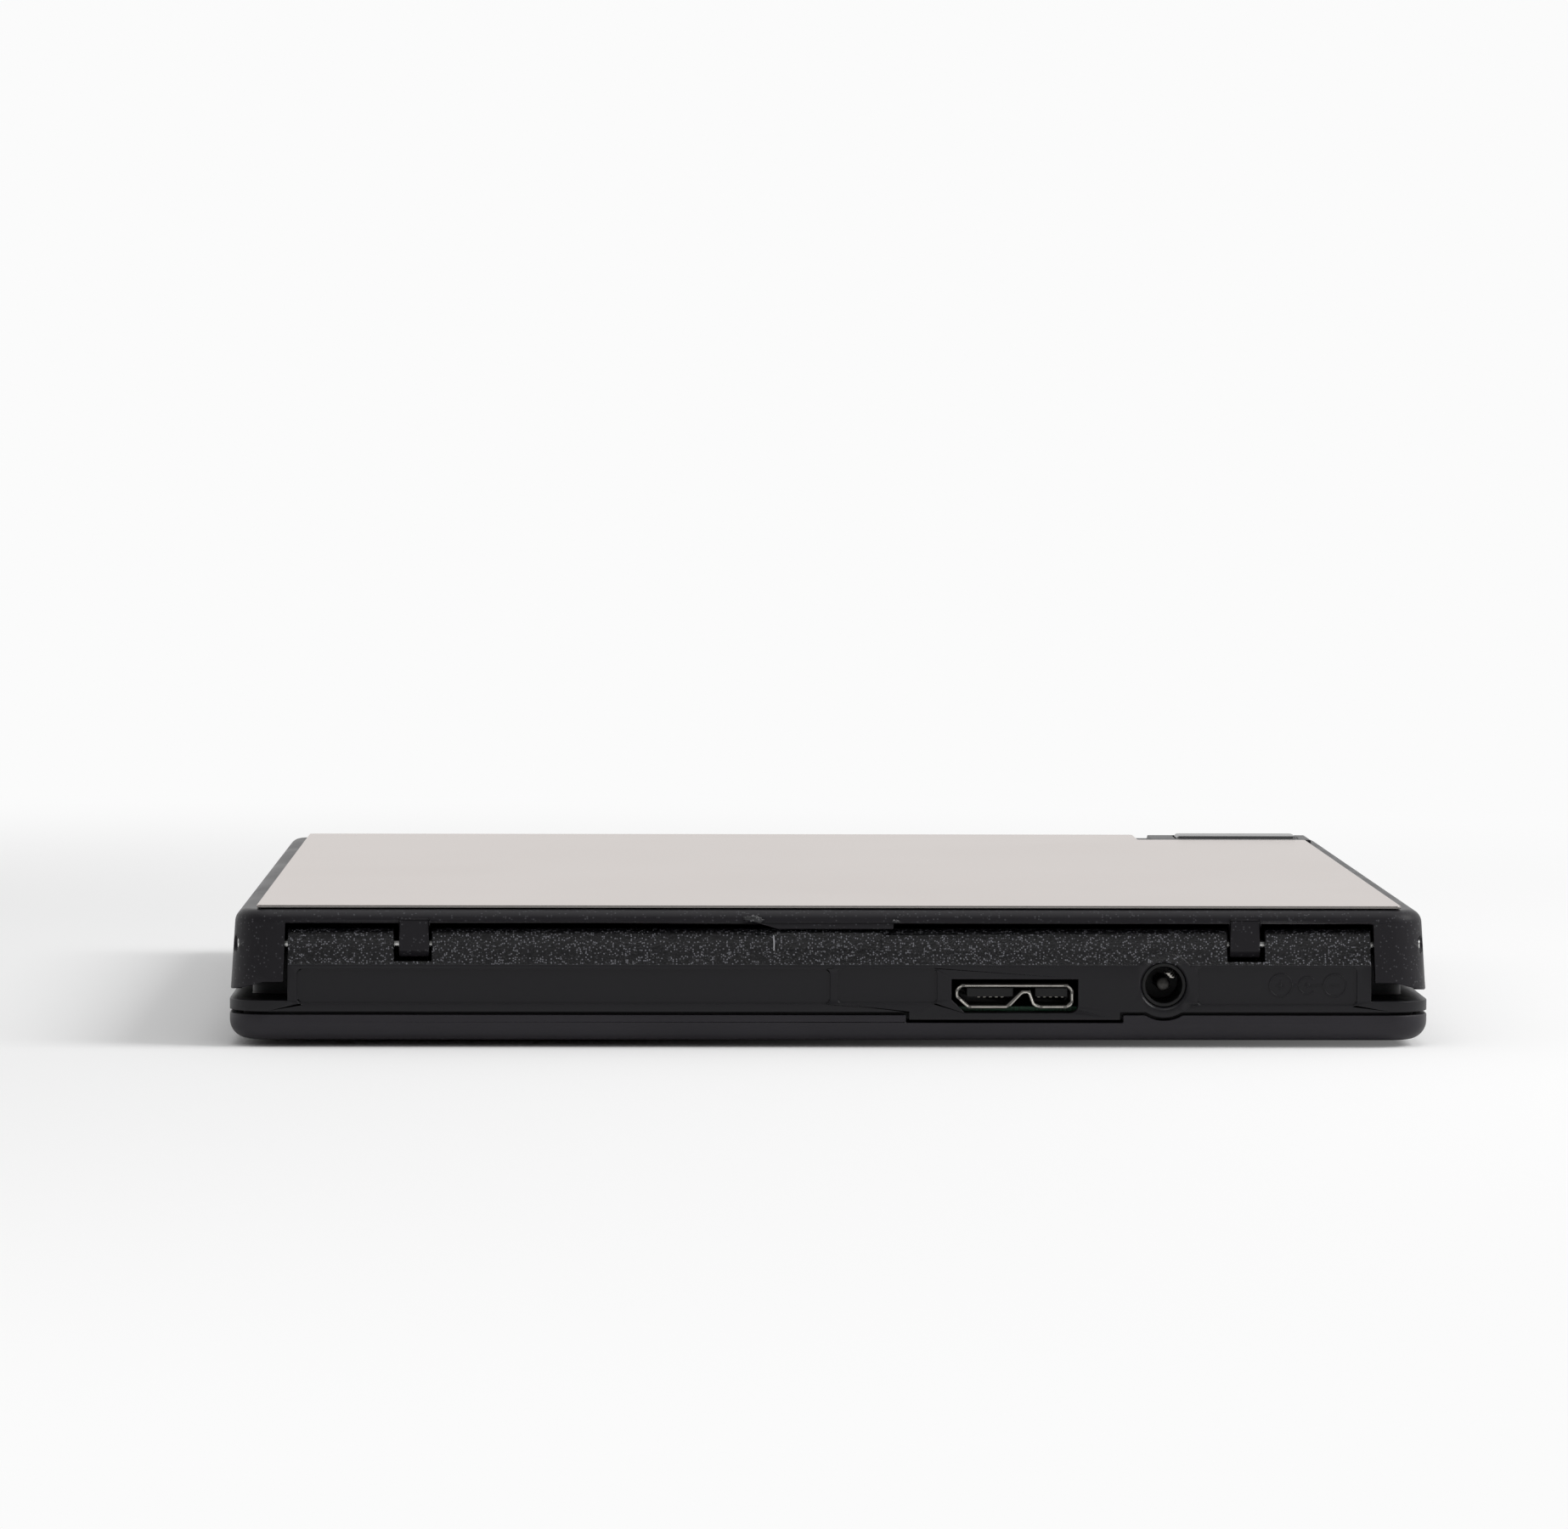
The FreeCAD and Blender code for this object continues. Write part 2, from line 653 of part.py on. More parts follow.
def make_lid_shell(doc, size):
    """The hinged cover: drafted walls, rear skirts, knuckles and the catch hook."""
    piece = Piece(doc, "lid_shell")
    half, inner = size.lid_half, size.lid_half - size.wall
    corner, draft = size.corner_radius, size.lid_draft
    piece.add("block", square(half, corner), "Z", size.skirt_bottom, size.lid_top, taper=draft)
    piece.fillet("shoulder", size.lid_round, level_at(SIZES["lid_top"]))
    inside = square(inner, corner - size.wall)
    piece.cut("inside", inside, "Z", size.skirt_bottom, size.lid_under, taper=draft)
    foot, head = size.skirt_half + 0.15, size.skirt_half - 0.1
    opening = [
        (-foot, size.skirt_bottom - 1),
        (foot, size.skirt_bottom - 1),
        (head, size.lip_bottom),
        (-head, size.lip_bottom),
    ]
    piece.cut("rear_opening", polygon(opening), "Y", 60.0, half)
    for name, side in (("left", -1), ("right", 1)):
        relief = [
            (side * 59.0, size.skirt_bottom - 1),
            (side * 67.0, size.skirt_bottom - 1),
            (side * 67.0, size.skirt_bottom),
            (side * 64.6, size.skirt_bottom + 0.5),
            (side * 62.6, size.rear_skirt_bottom),
            (side * 59.0, size.rear_skirt_bottom),
        ]
        piece.cut(f"{name}_skirt_relief", polygon(relief), "Y", 61.5, half)
    tongue_low, tongue_high = size.lip_bottom - 0.6, size.lip_bottom + 0.1
    tongue = [(-7.03, tongue_low), (5.78, tongue_low), (8.03, tongue_high), (-7.03, tongue_high)]
    piece.add("centre_tongue", polygon(tongue), "Y", 65.3, 65.92)
    make_knuckles(piece, size)
    make_button_seat(piece, size)
    posts, root = four_corners(size.bumper_across, size.bumper_along), size.lid_under + ROOT
    piece.add("bumper_posts", squares(posts, 1.9), "Z", size.bumper_top, root)
    tip, catch, back = -size.hook_left - 0.6, size.latch_high + 0.1, -size.hook_right
    hook = [
        (-size.hook_left, root),
        (-size.hook_left, catch),
        (tip, catch),
        (-size.hook_left, catch - 0.8),
        (back, catch - 0.8),
        (back, root),
    ]
    piece.add("catch_hook", polygon(hook), "Y", -size.latch_front, -61.5)
    return piece.body


def make_knuckles(piece, size):
    """Two knuckles and two corner ribs that turn on the hinge pins."""
    front, root = size.hinge_along - 1.5, size.lid_under + ROOT
    knuckle = [
        (front, root),
        (front, size.hinge_height),
        (front + 0.4, size.knuckle_bottom),
        (65.4, size.knuckle_bottom),
        (66.1, size.knuckle_bottom + 0.7),
        (65.88, root),
    ]
    rib = rectangle(front, size.hinge_along + 1.4, size.hinge_height - 1.1, root)
    rib_width = 1.5
    axis = [(size.hinge_along, size.hinge_height)]
    for name, side in (("left", -1), ("right", 1)):
        ends = span(side, size.knuckle_inner, size.knuckle_outer)
        piece.add(f"{name}_knuckle", polygon(knuckle), "X", *ends)
        piece.add(f"{name}_rib", rib, "X", *span(side, size.skirt_half, size.skirt_half + rib_width))
        bore = circles(axis, size.pin_radius + size.pin_play)
        piece.cut(f"{name}_pin_bore", bore, "X", *span(side, size.slot_inner, size.case_half))
        mouth = circles(axis, size.pin_hole_radius)
        piece.cut(f"{name}_pin_mouth", mouth, "X", *span(side, size.pin_outer + 0.1, size.case_half))


def plate_outline(size, inset):
    """The top plate's outline with its notch at the button's corner, drawn in by inset."""
    side, end = size.plate_half - inset, size.plate_long - inset
    notch_x, notch_y = -size.plate_notch_across + inset, -size.plate_notch_along + inset
    notch = [(-side, notch_y), (notch_x, notch_y), (notch_x, -end)]
    return polygon([*notch, (side, -end), (side, end), (-side, end)])


def make_button_seat(piece, size):
    """The raised land under the plate, the button's platform and its hole."""
    root = size.lid_top - ROOT
    piece.add("plate_land", plate_outline(size, 0.5), "Z", root, size.plate_under)
    platform = rectangle(-64.2, -44.0, -64.4, -54.6)
    piece.add("button_platform", platform, "Z", root, size.plate_top - 0.05)
    play = size.button_play
    hole = rectangle(
        -size.button_left - play,
        -size.button_right + play,
        -size.button_front - play,
        -size.button_back + play,
    )
    piece.cut("button_hole", hole, "Z", size.lid_under, size.plate_top)


def make_top_plate(doc, size):
    """The thin decorated plate that is stuck on the lid."""
    piece = Piece(doc, "top_plate")
    piece.add("sheet", plate_outline(size, 0.0), "Z", size.plate_under, size.plate_top)
    piece.fillet("corners", 0.6, upright)
    return piece.body


def make_feet(doc, size):
    feet = []
    for number, (x, y) in enumerate(four_corners(size.foot_across, size.foot_along), start=1):
        disc = cylinder(doc, f"foot_{number}", size.foot_radius, size.foot_height, (x, y, 0))
        doc.recompute()
        foot = doc.addObject("Part::Chamfer", f"bevelled_foot_{number}")
        foot.Base = disc
        lower = next(i for i, edge in enumerate(disc.Shape.Edges, start=1) if edge.BoundBox.ZMax < 0.01)
        foot.Edges = [(lower, 0.3, 0.3)]
        feet.append(foot)
    return group(doc, "rubber_feet", feet)


def make_screws(doc, label, spots, low, head, shank):
    """Pan-head screws that stand on end. head and shank are (radius, length), shank upwards from low."""
    screws = []
    for number, (x, y) in enumerate(spots, start=1):
        top = cylinder(doc, f"{label}_head_{number}", head[0], head[1], (x, y, low))
        stem = cylinder(doc, f"{label}_stem_{number}", shank[0], shank[1], (x, y, low))
        screws.append(join(doc, f"{label}_{number}", [top, stem]))
    return group(doc, label, screws)


def make_case_screws(doc, size):
    spots = four_corners(size.post_across, size.post_along)
    low = size.foot_height + 0.15
    head = (size.screw_head_radius, size.screw_head_top - low)
    shank = (size.screw_radius, size.deck_under - 0.7 - low)
    return make_screws(doc, "case_screws", spots, low, head, shank)


# Hinge pins, button and latch.


def make_hinge_pins(doc, size):
    pins = []
    length = size.pin_outer - size.pin_inner
    for name, start in (("left_pin", -size.pin_outer), ("right_pin", size.pin_inner)):
        base = (start, size.hinge_along, size.hinge_height)
        pins.append(cylinder(doc, name, size.pin_radius, length, base, axis=(1, 0, 0)))
    return group(doc, "hinge_pins", pins)


def make_eject_button(doc, size):
    """The push button with its retaining flange and the wedge that drives the latch."""
    piece = Piece(doc, "eject_button")
    left, right = -size.button_left, -size.button_right
    front, back = -size.button_front, -size.button_back
    piece.add("cap", rectangle(left, right, front, back, 0.8), "Z", 13.2, size.button_top)
    piece.chamfer("cap_edge", 0.25, level_at(SIZES["button_top"]))
    flange = rectangle(left - 0.3, right + 0.6, front - 0.5, back + 0.6, 1.1)
    piece.add("flange", flange, "Z", 12.9, 13.5)
    wedge = [(-56.5, 13.0), (-56.5, 11.6), (-53.5, 8.6), (-53.2, 8.6), (-53.2, 13.0)]
    piece.add("wedge", polygon(wedge), "Y", -62.6, -61.1)
    return piece.body


def make_latch_bar(doc, size):
    """The sliding bar: a ramp for the button's wedge and a nose for the lid's hook."""
    piece = Piece(doc, "latch_bar")
    low, high, left = size.latch_low, size.latch_high, -size.latch_left
    stem, nose = -size.hook_left - 1.4, -size.hook_left - 0.7
    profile = [
        (left, low),
        (stem, low),
        (stem, high + 0.3),
        (nose, high + 0.3),
        (nose, high + 0.9),
        (nose - 0.9, high + 1.5),
        (nose - 3.3, high + 1.5),
        (nose - 3.3, high),
        (-52.45, high),
        (-54.15, high + 1.7),
        (-56.0, high + 1.7),
        (-57.5, high),
        (left, high),
    ]
    piece.add("bar", polygon(profile), "Y", -size.latch_front, -size.latch_back)
    return piece.body


# Sockets.

# The socket shell's outline, as (distance to the left of the middle seen from behind, height).
USB_PROFILE = [
    (15.3, 4.34),
    (19.6, 4.34),
    (21.35, 6.0),
    (21.95, 6.0),
    (22.4, 4.7),
    (23.2, 4.34),
    (26.25, 4.34),
    (26.95, 4.95),
    (26.95, 6.4),
    (26.35, 7.01),
    (14.5, 7.01),
    (13.89, 6.4),
    (13.89, 5.6),
]
USB_SHEET = 0.3
USB_TONGUE_LOW = 5.6


def usb_face(inset):
    """The socket's outline as a face at y = 0, with bent corners, drawn in by inset."""
    bend = 0.45
    corners = [Vector(-across, 0, height) for across, height in USB_PROFILE]
    face = Part.Face(Part.makePolygon(corners + corners[:1]))
    core = Part.Face(face.makeOffset2D(-bend, join=2).Wires[0])
    return Part.Face(core.makeOffset2D(bend - inset, join=0).Wires[0])


def make_usb_shell(doc):
    """The bent steel shell of the socket, which is too thin and kinked for a plain pad."""
    sheet, front, back = USB_SHEET, 66.0, 59.8
    tube = usb_face(0.0).extrude(Vector(0, front - back, 0))
    tube = tube.cut(usb_face(sheet).extrude(Vector(0, front - back, 0)))
    shell = doc.addObject("Part::Feature", "usb_shell")
    shell.Shape = tube
    shell.Placement = Placement(Vector(0, back, 0), Rotation())
    return shell


def make_usb_insulator(doc):
    """The black moulding inside the socket: its back and its two tongues."""
    play, back, depth = 0.02, 59.9, 1.8
    inside = usb_face(USB_SHEET + play).extrude(Vector(0, depth, 0))
    inside.translate(Vector(0, back, 0))
    start, reach, thick = back + depth - ROOT, 3.9, 0.95
    tongues = [
        Part.makeBox(right - left, reach, thick, Vector(-right, start, USB_TONGUE_LOW))
        for left, right in ((15.2, 20.3), (22.75, 26.3))
    ]
    moulding = doc.addObject("Part::Feature", "usb_insulator")
    moulding.Shape = inside.multiFuse(tongues).removeSplitter()
    return moulding


def make_usb_contacts(doc):
    """Two rows of five contacts under the tongues."""
    count, pitch, width, proud = 5, 0.65, 0.3, 0.1
    back, front = 61.8, 65.3
    contacts = []
    for row, first in (("wide", 16.35), ("narrow", 23.0)):
        for number in range(count):
            right = -(first + number * pitch)
            low, high = (right - width, back, USB_TONGUE_LOW - proud), (right, front, USB_TONGUE_LOW)
            contacts.append(block(doc, f"{row}_contact_{number + 1}", low, high))
    return group(doc, "usb_contacts", contacts)


def make_dc_jack(doc, size):
    """The round power socket: its moulded body, its centre pin and its side spring."""
    x, floor, z = -size.jack_across, size.jack_floor, size.jack_height
    along = (0, 1, 0)
    nose_end, pin_length = 65.9, 6.0
    low = (x - size.jack_half, size.jack_back, size.jack_low)
    high = (x + size.jack_half, size.jack_front, size.jack_top)
    base = block(doc, "jack_base", low, high)
    start = size.jack_front - ROOT
    nose = cylinder(doc, "jack_nose", size.jack_hole_radius - 0.05, nose_end - start, (x, start, z), along)
    solid = join(doc, "jack_solid", [base, nose])
    bore = cylinder(doc, "jack_bore", size.jack_bore_radius, nose_end - floor, (x, floor, z), along)
    body = doc.addObject("Part::Cut", "dc_jack_body")
    body.Base, body.Tool = solid, bore
    rod = cylinder(doc, "jack_rod", size.jack_pin_radius, pin_length, (x, floor, z), along)
    doc.recompute()
    pin = doc.addObject("Part::Chamfer", "dc_jack_pin")
    pin.Base = rod
    end = SIZES["jack_floor"] + pin_length
    tip = next(i for i, edge in enumerate(rod.Shape.Edges, start=1) if edge.BoundBox.YMin > end - 0.01)
    pin.Edges = [(tip, 0.3, 0.3)]
    leaf_half, leaf_length, leaf_thick, leaf_out = 0.65, 6.1, 0.18, 1.6
    leaf = block(doc, "jack_leaf", (-leaf_half, 0, leaf_out), (leaf_half, leaf_length, leaf_out + leaf_thick))
    leaf_lean = -45.0
    spring = doc.addObject("Part::Compound", "dc_jack_spring")
    spring.Links = [leaf]
    spot = Vector(-SIZES["jack_across"], SIZES["jack_floor"], SIZES["jack_height"])
    spring.Placement = Placement(spot, Rotation(Vector(0, 1, 0), leaf_lean))
    return [body, pin, spring]


# Main board.


def make_board(doc, size):
    """The circuit board behind the mechanism, cut round the posts and the power socket."""
    piece = Piece(doc, "main_board")
    side, front, rear = size.board_half, size.board_front, size.board_rear
    arm_end, arm_inner, inside = -6.0, -40.0, -12.5
    outline = [
        (side, front),
        (side, rear),
        (-side, rear),
        (-side, arm_end),
        (arm_inner, arm_end),
        (inside, arm_end + inside - arm_inner),
        (inside, front),
    ]
    piece.add("board", polygon(outline), "Z", size.board_low, size.board_high)
    rear_posts = [(size.post_across, size.post_along), (-size.post_across, size.post_along)]
    piece.cut("post_notches", squares(rear_posts, size.post_half + 0.4), "Z", size.board_low, size.board_high)
    play = 2 * size.jack_play
    middle, reach = -size.jack_across, size.jack_half + play
    jack = rectangle(middle - reach, middle + reach, size.jack_back - play, rear)
    piece.cut("jack_notch", jack, "Z", size.board_low, size.board_high)
    holes = circles(BOARD_POSTS, size.board_pilot_radius + size.screw_play)
    piece.cut("fixing_holes", holes, "Z", size.board_low, size.board_high)
    return piece.body


def make_chips(doc, size):
    """Packages on the board, as (left, right, front, back, height)."""
    packages = {
        "controller": (-44.0, -30.0, 18.0, 32.0, 1.0),
        "memory": (-52.0, -44.5, 35.0, 42.0, 0.9),
        "motor_driver": (-28.0, -19.0, 33.0, 42.0, 1.0),
        "bridge": (-22.0, -15.0, 48.0, 55.0, 0.9),
        "coil": (30.0, 35.0, 55.0, 60.0, 1.9),
        "capacitor": (-52.0, -48.5, 55.0, 58.5, 1.6),
    }
    high = size.board_high
    chips = [
        block(doc, name, (left, front, high), (right, back, high + height))
        for name, (left, right, front, back, height) in packages.items()
    ]
    return group(doc, "board_chips", chips)


def make_board_screws(doc, size):
    """Screws that hold the board on its posts, heads up."""
    screws = []
    for number, (x, y) in enumerate(BOARD_POSTS, start=1):
        head_radius, head_height, length, reach = 1.5, 0.8, 2.4, 2.2
        top = cylinder(doc, f"board_head_{number}", head_radius, head_height, (x, y, size.board_high))
        spot = (x, y, size.board_high - reach)
        stem = cylinder(doc, f"board_stem_{number}", size.board_pilot_radius, length, spot)
        screws.append(join(doc, f"board_screw_{number}", [top, stem]))
    return group(doc, "board_screws", screws)


# Disc drive: everything from here on sits about the spindle, with +X along the pickup's path.

DAMPERS = [(-17.0, 0.0), (38.0, -27.0), (38.0, 27.0)]
DAMPER_RADIUS = 2.7
DAMPER_NECK = 1.6
DAMPER_FLANGE = 0.7
SCREW_ROOT = 0.7


def traverse_placement():
    spot = Vector(0, SIZES["spindle_along"], 0)
    return Placement(spot, Rotation(Vector(0, 0, 1), SIZES["traverse_turn"]))


def make_chassis(doc, size):
    """The pressed frame that carries the motor, the rods and the screw."""
    piece = Piece(doc, "traverse_chassis", traverse_placement())
    low, high = size.chassis_low, size.chassis_high
    outline = [
        (-18.0, -14.0),
        (-8.0, -24.0),
        (56.0, -24.0),
        (67.2, -18.4),
        (67.2, 18.4),
        (59.0, 24.5),
        (-8.0, 24.5),
        (-18.0, 14.0),
    ]
    piece.add("sheet", polygon(outline), "Z", low, high)
    piece.add("ears", circles(DAMPERS, DAMPER_RADIUS + 1.5), "Z", low, high)
    piece.cut("ear_holes", circles(DAMPERS, DAMPER_NECK), "Z", low, high)
    piece.cut("motor_hole", circles([(0.0, 0.0)], 11.6), "Z", low, high)
    piece.cut("pickup_way", rectangle(4.0, 65.0, -14.3, 14.3), "Z", low, high)
    piece.cut("sled_motor_window", rectangle(-3.4, 9.4, 19.4, 25.4), "Z", low, high)
    sheet, root = size.tab_sheet, low + ROOT
    for name, start in (("inner", size.rod_inner - sheet), ("outer", size.rod_outer)):
        for side in (-1, 1):
            middle = side * size.rod_half
            tab = rectangle(start, start + sheet, middle - 1.5, middle + 1.5)
            piece.add(f"{name}_tab_{side + 2}", tab, "Z", size.rod_height - 1.4, root)
    motor_front = size.sled_motor_back + size.sled_motor_length
    for name, start in (("motor_tab", motor_front + ROOT), ("bearing_tab", size.bearing_tab)):
        tab = rectangle(start, start + sheet, size.screw_across - 2.0, size.screw_across + 2.0)
        piece.add(name, tab, "Z", size.screw_height - 1.3, root)
        bore = circles([(size.screw_across, size.screw_height)], SCREW_ROOT + 0.05)
        piece.cut(f"{name}_bore", bore, "X", start, start + sheet)
    return piece.body


def make_rods(doc, size):
    length = size.rod_outer - size.rod_inner
    rods = []
    for name, side in (("front_rod", -1), ("rear_rod", 1)):
        start = (size.rod_inner, side * size.rod_half, size.rod_height)
        rods.append(cylinder(doc, name, size.rod_radius, length, start, (1, 0, 0)))
    return group(doc, "guide_rods", rods, traverse_placement())


def make_dampers(doc, size):
    """Rubber grommets that hang the chassis, each gripping an ear in its groove."""
    dampers = []
    low, high = size.chassis_low - DAMPER_FLANGE, size.chassis_high
    for number, (x, y) in enumerate(DAMPERS, start=1):
        lower = cylinder(doc, f"damper_lower_{number}", DAMPER_RADIUS, DAMPER_FLANGE, (x, y, low))
        neck = cylinder(doc, f"damper_neck_{number}", DAMPER_NECK, high - low, (x, y, low))
        upper = cylinder(doc, f"damper_upper_{number}", DAMPER_RADIUS, size.deck_under - high, (x, y, high))
        solid = join(doc, f"damper_solid_{number}", [lower, neck, upper])
        bore = cylinder(doc, f"damper_bore_{number}", size.screw_radius, size.deck_under - low, (x, y, low))
        damper = doc.addObject("Part::Cut", f"damper_{number}")
        damper.Base, damper.Tool = solid, bore
        dampers.append(damper)
    return group(doc, "chassis_dampers", dampers, traverse_placement())


def make_damper_screws(doc, size):
    head_height = 0.7
    low = size.chassis_low - DAMPER_FLANGE - head_height
    shank = (size.screw_radius, size.deck_under + 0.5 - low)
    screws = make_screws(doc, "damper_screws", DAMPERS, low, (size.screw_head_radius, head_height), shank)
    screws.Placement = traverse_placement()
    return screws


def make_sled_motor(doc, size):
    """The small stepper that turns the lead screw, with flats above and below."""
    across, height = size.screw_across, size.screw_height
    back, length, radius = size.sled_motor_back, size.sled_motor_length, size.sled_motor_radius
    flat_half = 2.3
    can = cylinder(doc, "sled_motor_can", radius, length, (back, across, height), (1, 0, 0))
    low = (back, across - radius, height - flat_half)
    high = (back + length, across + radius, height + flat_half)
    flats = block(doc, "sled_motor_flats", low, high)
    motor = doc.addObject("Part::Common", "sled_motor")
    motor.Base, motor.Tool = can, flats
    motor.Placement = traverse_placement()
    return motor


def make_lead_screw(doc, size):
    """The threaded rod, with a thinner shaft that leaves the motor and ends in the bearing tab."""
    across, height, along = size.screw_across, size.screw_height, (1, 0, 0)
    foot = (size.thread_start, across, height)
    thread = cylinder(doc, "thread", size.thread_radius, size.thread_length, foot, along)
    start = size.sled_motor_back + size.sled_motor_length + 0.05
    end = size.bearing_tab + size.tab_sheet - 0.05
    shaft = cylinder(doc, "thread_shaft", SCREW_ROOT, end - start, (start, across, height), along)
    screw = join(doc, "lead_screw", [thread, shaft])
    screw.Placement = traverse_placement()
    return screw


CLAWS = 3
CLAW_HALF = 1.65


def make_spindle(doc, size):
    """The motor's fixed base, and the turning parts from the rotor up to the chuck."""
    here = Placement(Vector(0, SIZES["spindle_along"], 0), Rotation())
    base = Piece(doc, "spindle_motor_base", here)
    post = [(3.2, 2.9), (3.2, 4.6), (1.1, 4.6), (1.1, 2.6)]
    base.turn("base", [(0.0, 2.1), (11.0, 2.1), (11.0, 2.9), *post, (0.0, 2.6)])
    rotor = Piece(doc, "motor_rotor", here)
    rotor.turn("can", [(1.0, 7.0), (9.8, 7.0), (9.8, 3.3), (10.4, 3.3), (10.4, 7.7), (1.0, 7.7)])
    shaft = Piece(doc, "spindle_shaft", here)
    shaft.turn("shaft", [(0.0, 2.7), (1.0, 2.7), (1.0, 10.4), (0.0, 10.4)])
    table = Piece(doc, "turntable", here)
    rim, seat = size.turntable_radius, size.disc_seat
    hub, top = size.hub_radius, size.hub_top
    section = [
        (1.0, 7.9),
        (rim - 1.0, 7.9),
        (rim, seat - 0.9),
        (rim, seat - 0.4),
        (hub, seat - 0.4),
        (hub, top - 0.7),
        (hub - 0.9, top),
        (2.6, top),
        (2.6, top - 0.5),
        (1.0, top - 0.5),
    ]
    table.turn("table", section)
    claws, claw_back, claw_front = [], 4.4, hub + 1.0
    for number in range(1, CLAWS + 1):
        angle = 360.0 * number / CLAWS + 60.0
        notch = rectangle(claw_back - 0.2, claw_front, -CLAW_HALF - 0.15, CLAW_HALF + 0.15)
        table.cut(f"claw_notch_{number}", notch, "Z", size.claw_bottom, top, turn=angle)
        low, high = (claw_back, -CLAW_HALF, size.claw_bottom), (claw_front, CLAW_HALF, top - 0.15)
        bar = block(doc, f"claw_bar_{number}", low, high)
        nose = cylinder(doc, f"claw_nose_{number}", hub, 2.0, (0, 0, size.claw_bottom))
        claw = doc.addObject("Part::Common", f"claw_{number}")
        claw.Base, claw.Tool = bar, nose
        claw.Placement = Placement(here.Base, Rotation(Vector(0, 0, 1), angle))
        claws.append(claw)
    claws = group(doc, "chuck_claws", claws)
    pad = Piece(doc, "disc_pad", here)
    pad.turn("pad", [(9.8, seat - 0.4), (rim - 0.2, seat - 0.4), (rim - 0.2, seat), (9.8, seat)])
    return [base.body, rotor.body, shaft.body, table.body, claws, pad.body]


def make_pickup(doc, size):
    """The sled: a cast body on the rods, its steel cover, its nut, and the floating lens."""
    turned = traverse_placement()
    reach = size.lens_reach
    back, front, half = reach - 13.0, reach + 7.5, 13.2
    under, top = 2.6, size.chassis_high + 0.25
    piece = Piece(doc, "pickup_body", turned)
    piece.add("core", rectangle(back, front, -half, half), "Z", under, top)
    piece.cut("motor_scallop", circles([(0.0, 0.0)], 12.2), "Z", under, top)
    bushes = (("front_bush", -1, 14.0, 0.0), ("inner_bush", 1, 14.0, 9.0), ("outer_bush", 1, 5.0, 0.0))
    bush_out = size.rod_half + 2.2
    for name, side, start, end in bushes:
        sleeve = rectangle(front - start, front - end, *span(side, half - ROOT, bush_out))
        piece.add(name, sleeve, "Z", size.rod_height - 1.6, size.rod_height + 1.5)
    bores = circles([(side * size.rod_half, size.rod_height) for side in (-1, 1)], size.rod_radius + 0.05)
    piece.cut("rod_bores", bores, "X", back, front)
    piece.cut("lens_bay", rectangle(reach - 5.6, reach + 5.6, -7.0, 7.0), "Z", 5.0, top)
    cover = Piece(doc, "pickup_cover", turned)
    cover.add("sheet", rectangle(reach - 8.0, front - 0.3, -12.6, 12.6), "Z", top, top + 0.25)
    cover.cut("window", rectangle(reach - 5.2, reach + 5.2, -6.4, 6.4), "Z", top, top + 0.25)
    nut = Piece(doc, "drive_nut", turned)
    gap = size.thread_radius + 0.1
    side, below = size.screw_across - gap, size.screw_height - gap
    end, low, high = size.screw_across + 1.0, below - 0.5, size.screw_height + 1.0
    hook = [(bush_out, low), (end, low), (end, below), (side, below), (side, high), (bush_out, high)]
    nut.add("hook", polygon(hook), "X", front - 13.0, front - 10.0)
    holder = Piece(doc, "lens_holder", turned)
    holder.add("block", rectangle(reach - 4.4, reach + 4.4, -5.0, 5.0, 1.2), "Z", 5.7, 6.8)
    holder.add("collar", circles([(reach, 0.0)], 2.9), "Z", 6.7, 8.0)
    holder.cut("lens_seat", circles([(reach, 0.0)], 2.3), "Z", 7.3, 8.0)
    over_reach = turned * Placement(Vector(reach.number, 0, 0), Rotation())
    lens = Piece(doc, "objective_lens", over_reach)
    lens.turn("lens", [(0.0, 7.3), (2.3, 7.3), (2.3, 7.4), (1.7, 7.85), (0.9, 8.2), (0.0, 8.3)])
    return [piece.body, cover.body, nut.body, holder.body, lens.body]


def make_bumpers(doc, size):
    """Soft pads on the lid's posts, which stop just short of the closed deck."""
    half, low, pads = 2.3, size.deck_top + 0.05, []
    for number, (x, y) in enumerate(four_corners(size.bumper_across, size.bumper_along), start=1):
        pads.append(block(doc, f"bumper_{number}", (x - half, y - half, low), (x + half, y + half, size.bumper_top)))
    return group(doc, "lid_bumpers", pads)


def make_light_pipe(doc, size):
    play, front, depth = size.light_play, -size.case_half + 0.1, 3.9
    low, high = size.rim_bottom + LIGHT_INSET + play, size.ledge_top - LIGHT_INSET - play
    near, far = (size.light_left + play, front, low), (size.light_right - play, front + depth, high)
    return block(doc, "activity_light", near, far)


def build():
    """Makes the document and returns the finished pieces."""
    doc = FreeCAD.newDocument("disc_writer")
    size = fill_sheet(doc)
    pieces = [
        make_bottom_cover(doc, size),
        make_deck(doc, size),
        make_lid_shell(doc, size),
        make_top_plate(doc, size),
        make_feet(doc, size),
        make_case_screws(doc, size),
        make_hinge_pins(doc, size),
        make_eject_button(doc, size),
        make_latch_bar(doc, size),
        make_usb_shell(doc),
        make_usb_insulator(doc),
        make_usb_contacts(doc),
        *make_dc_jack(doc, size),
        make_board(doc, size),
        make_chips(doc, size),
        make_board_screws(doc, size),
        make_chassis(doc, size),
        make_rods(doc, size),
        make_dampers(doc, size),
        make_damper_screws(doc, size),
        make_sled_motor(doc, size),
        make_lead_screw(doc, size),
        *make_spindle(doc, size),
        make_bumpers(doc, size),
        make_light_pipe(doc, size),
        *make_pickup(doc, size),
    ]
    doc.recompute()
    return doc, pieces


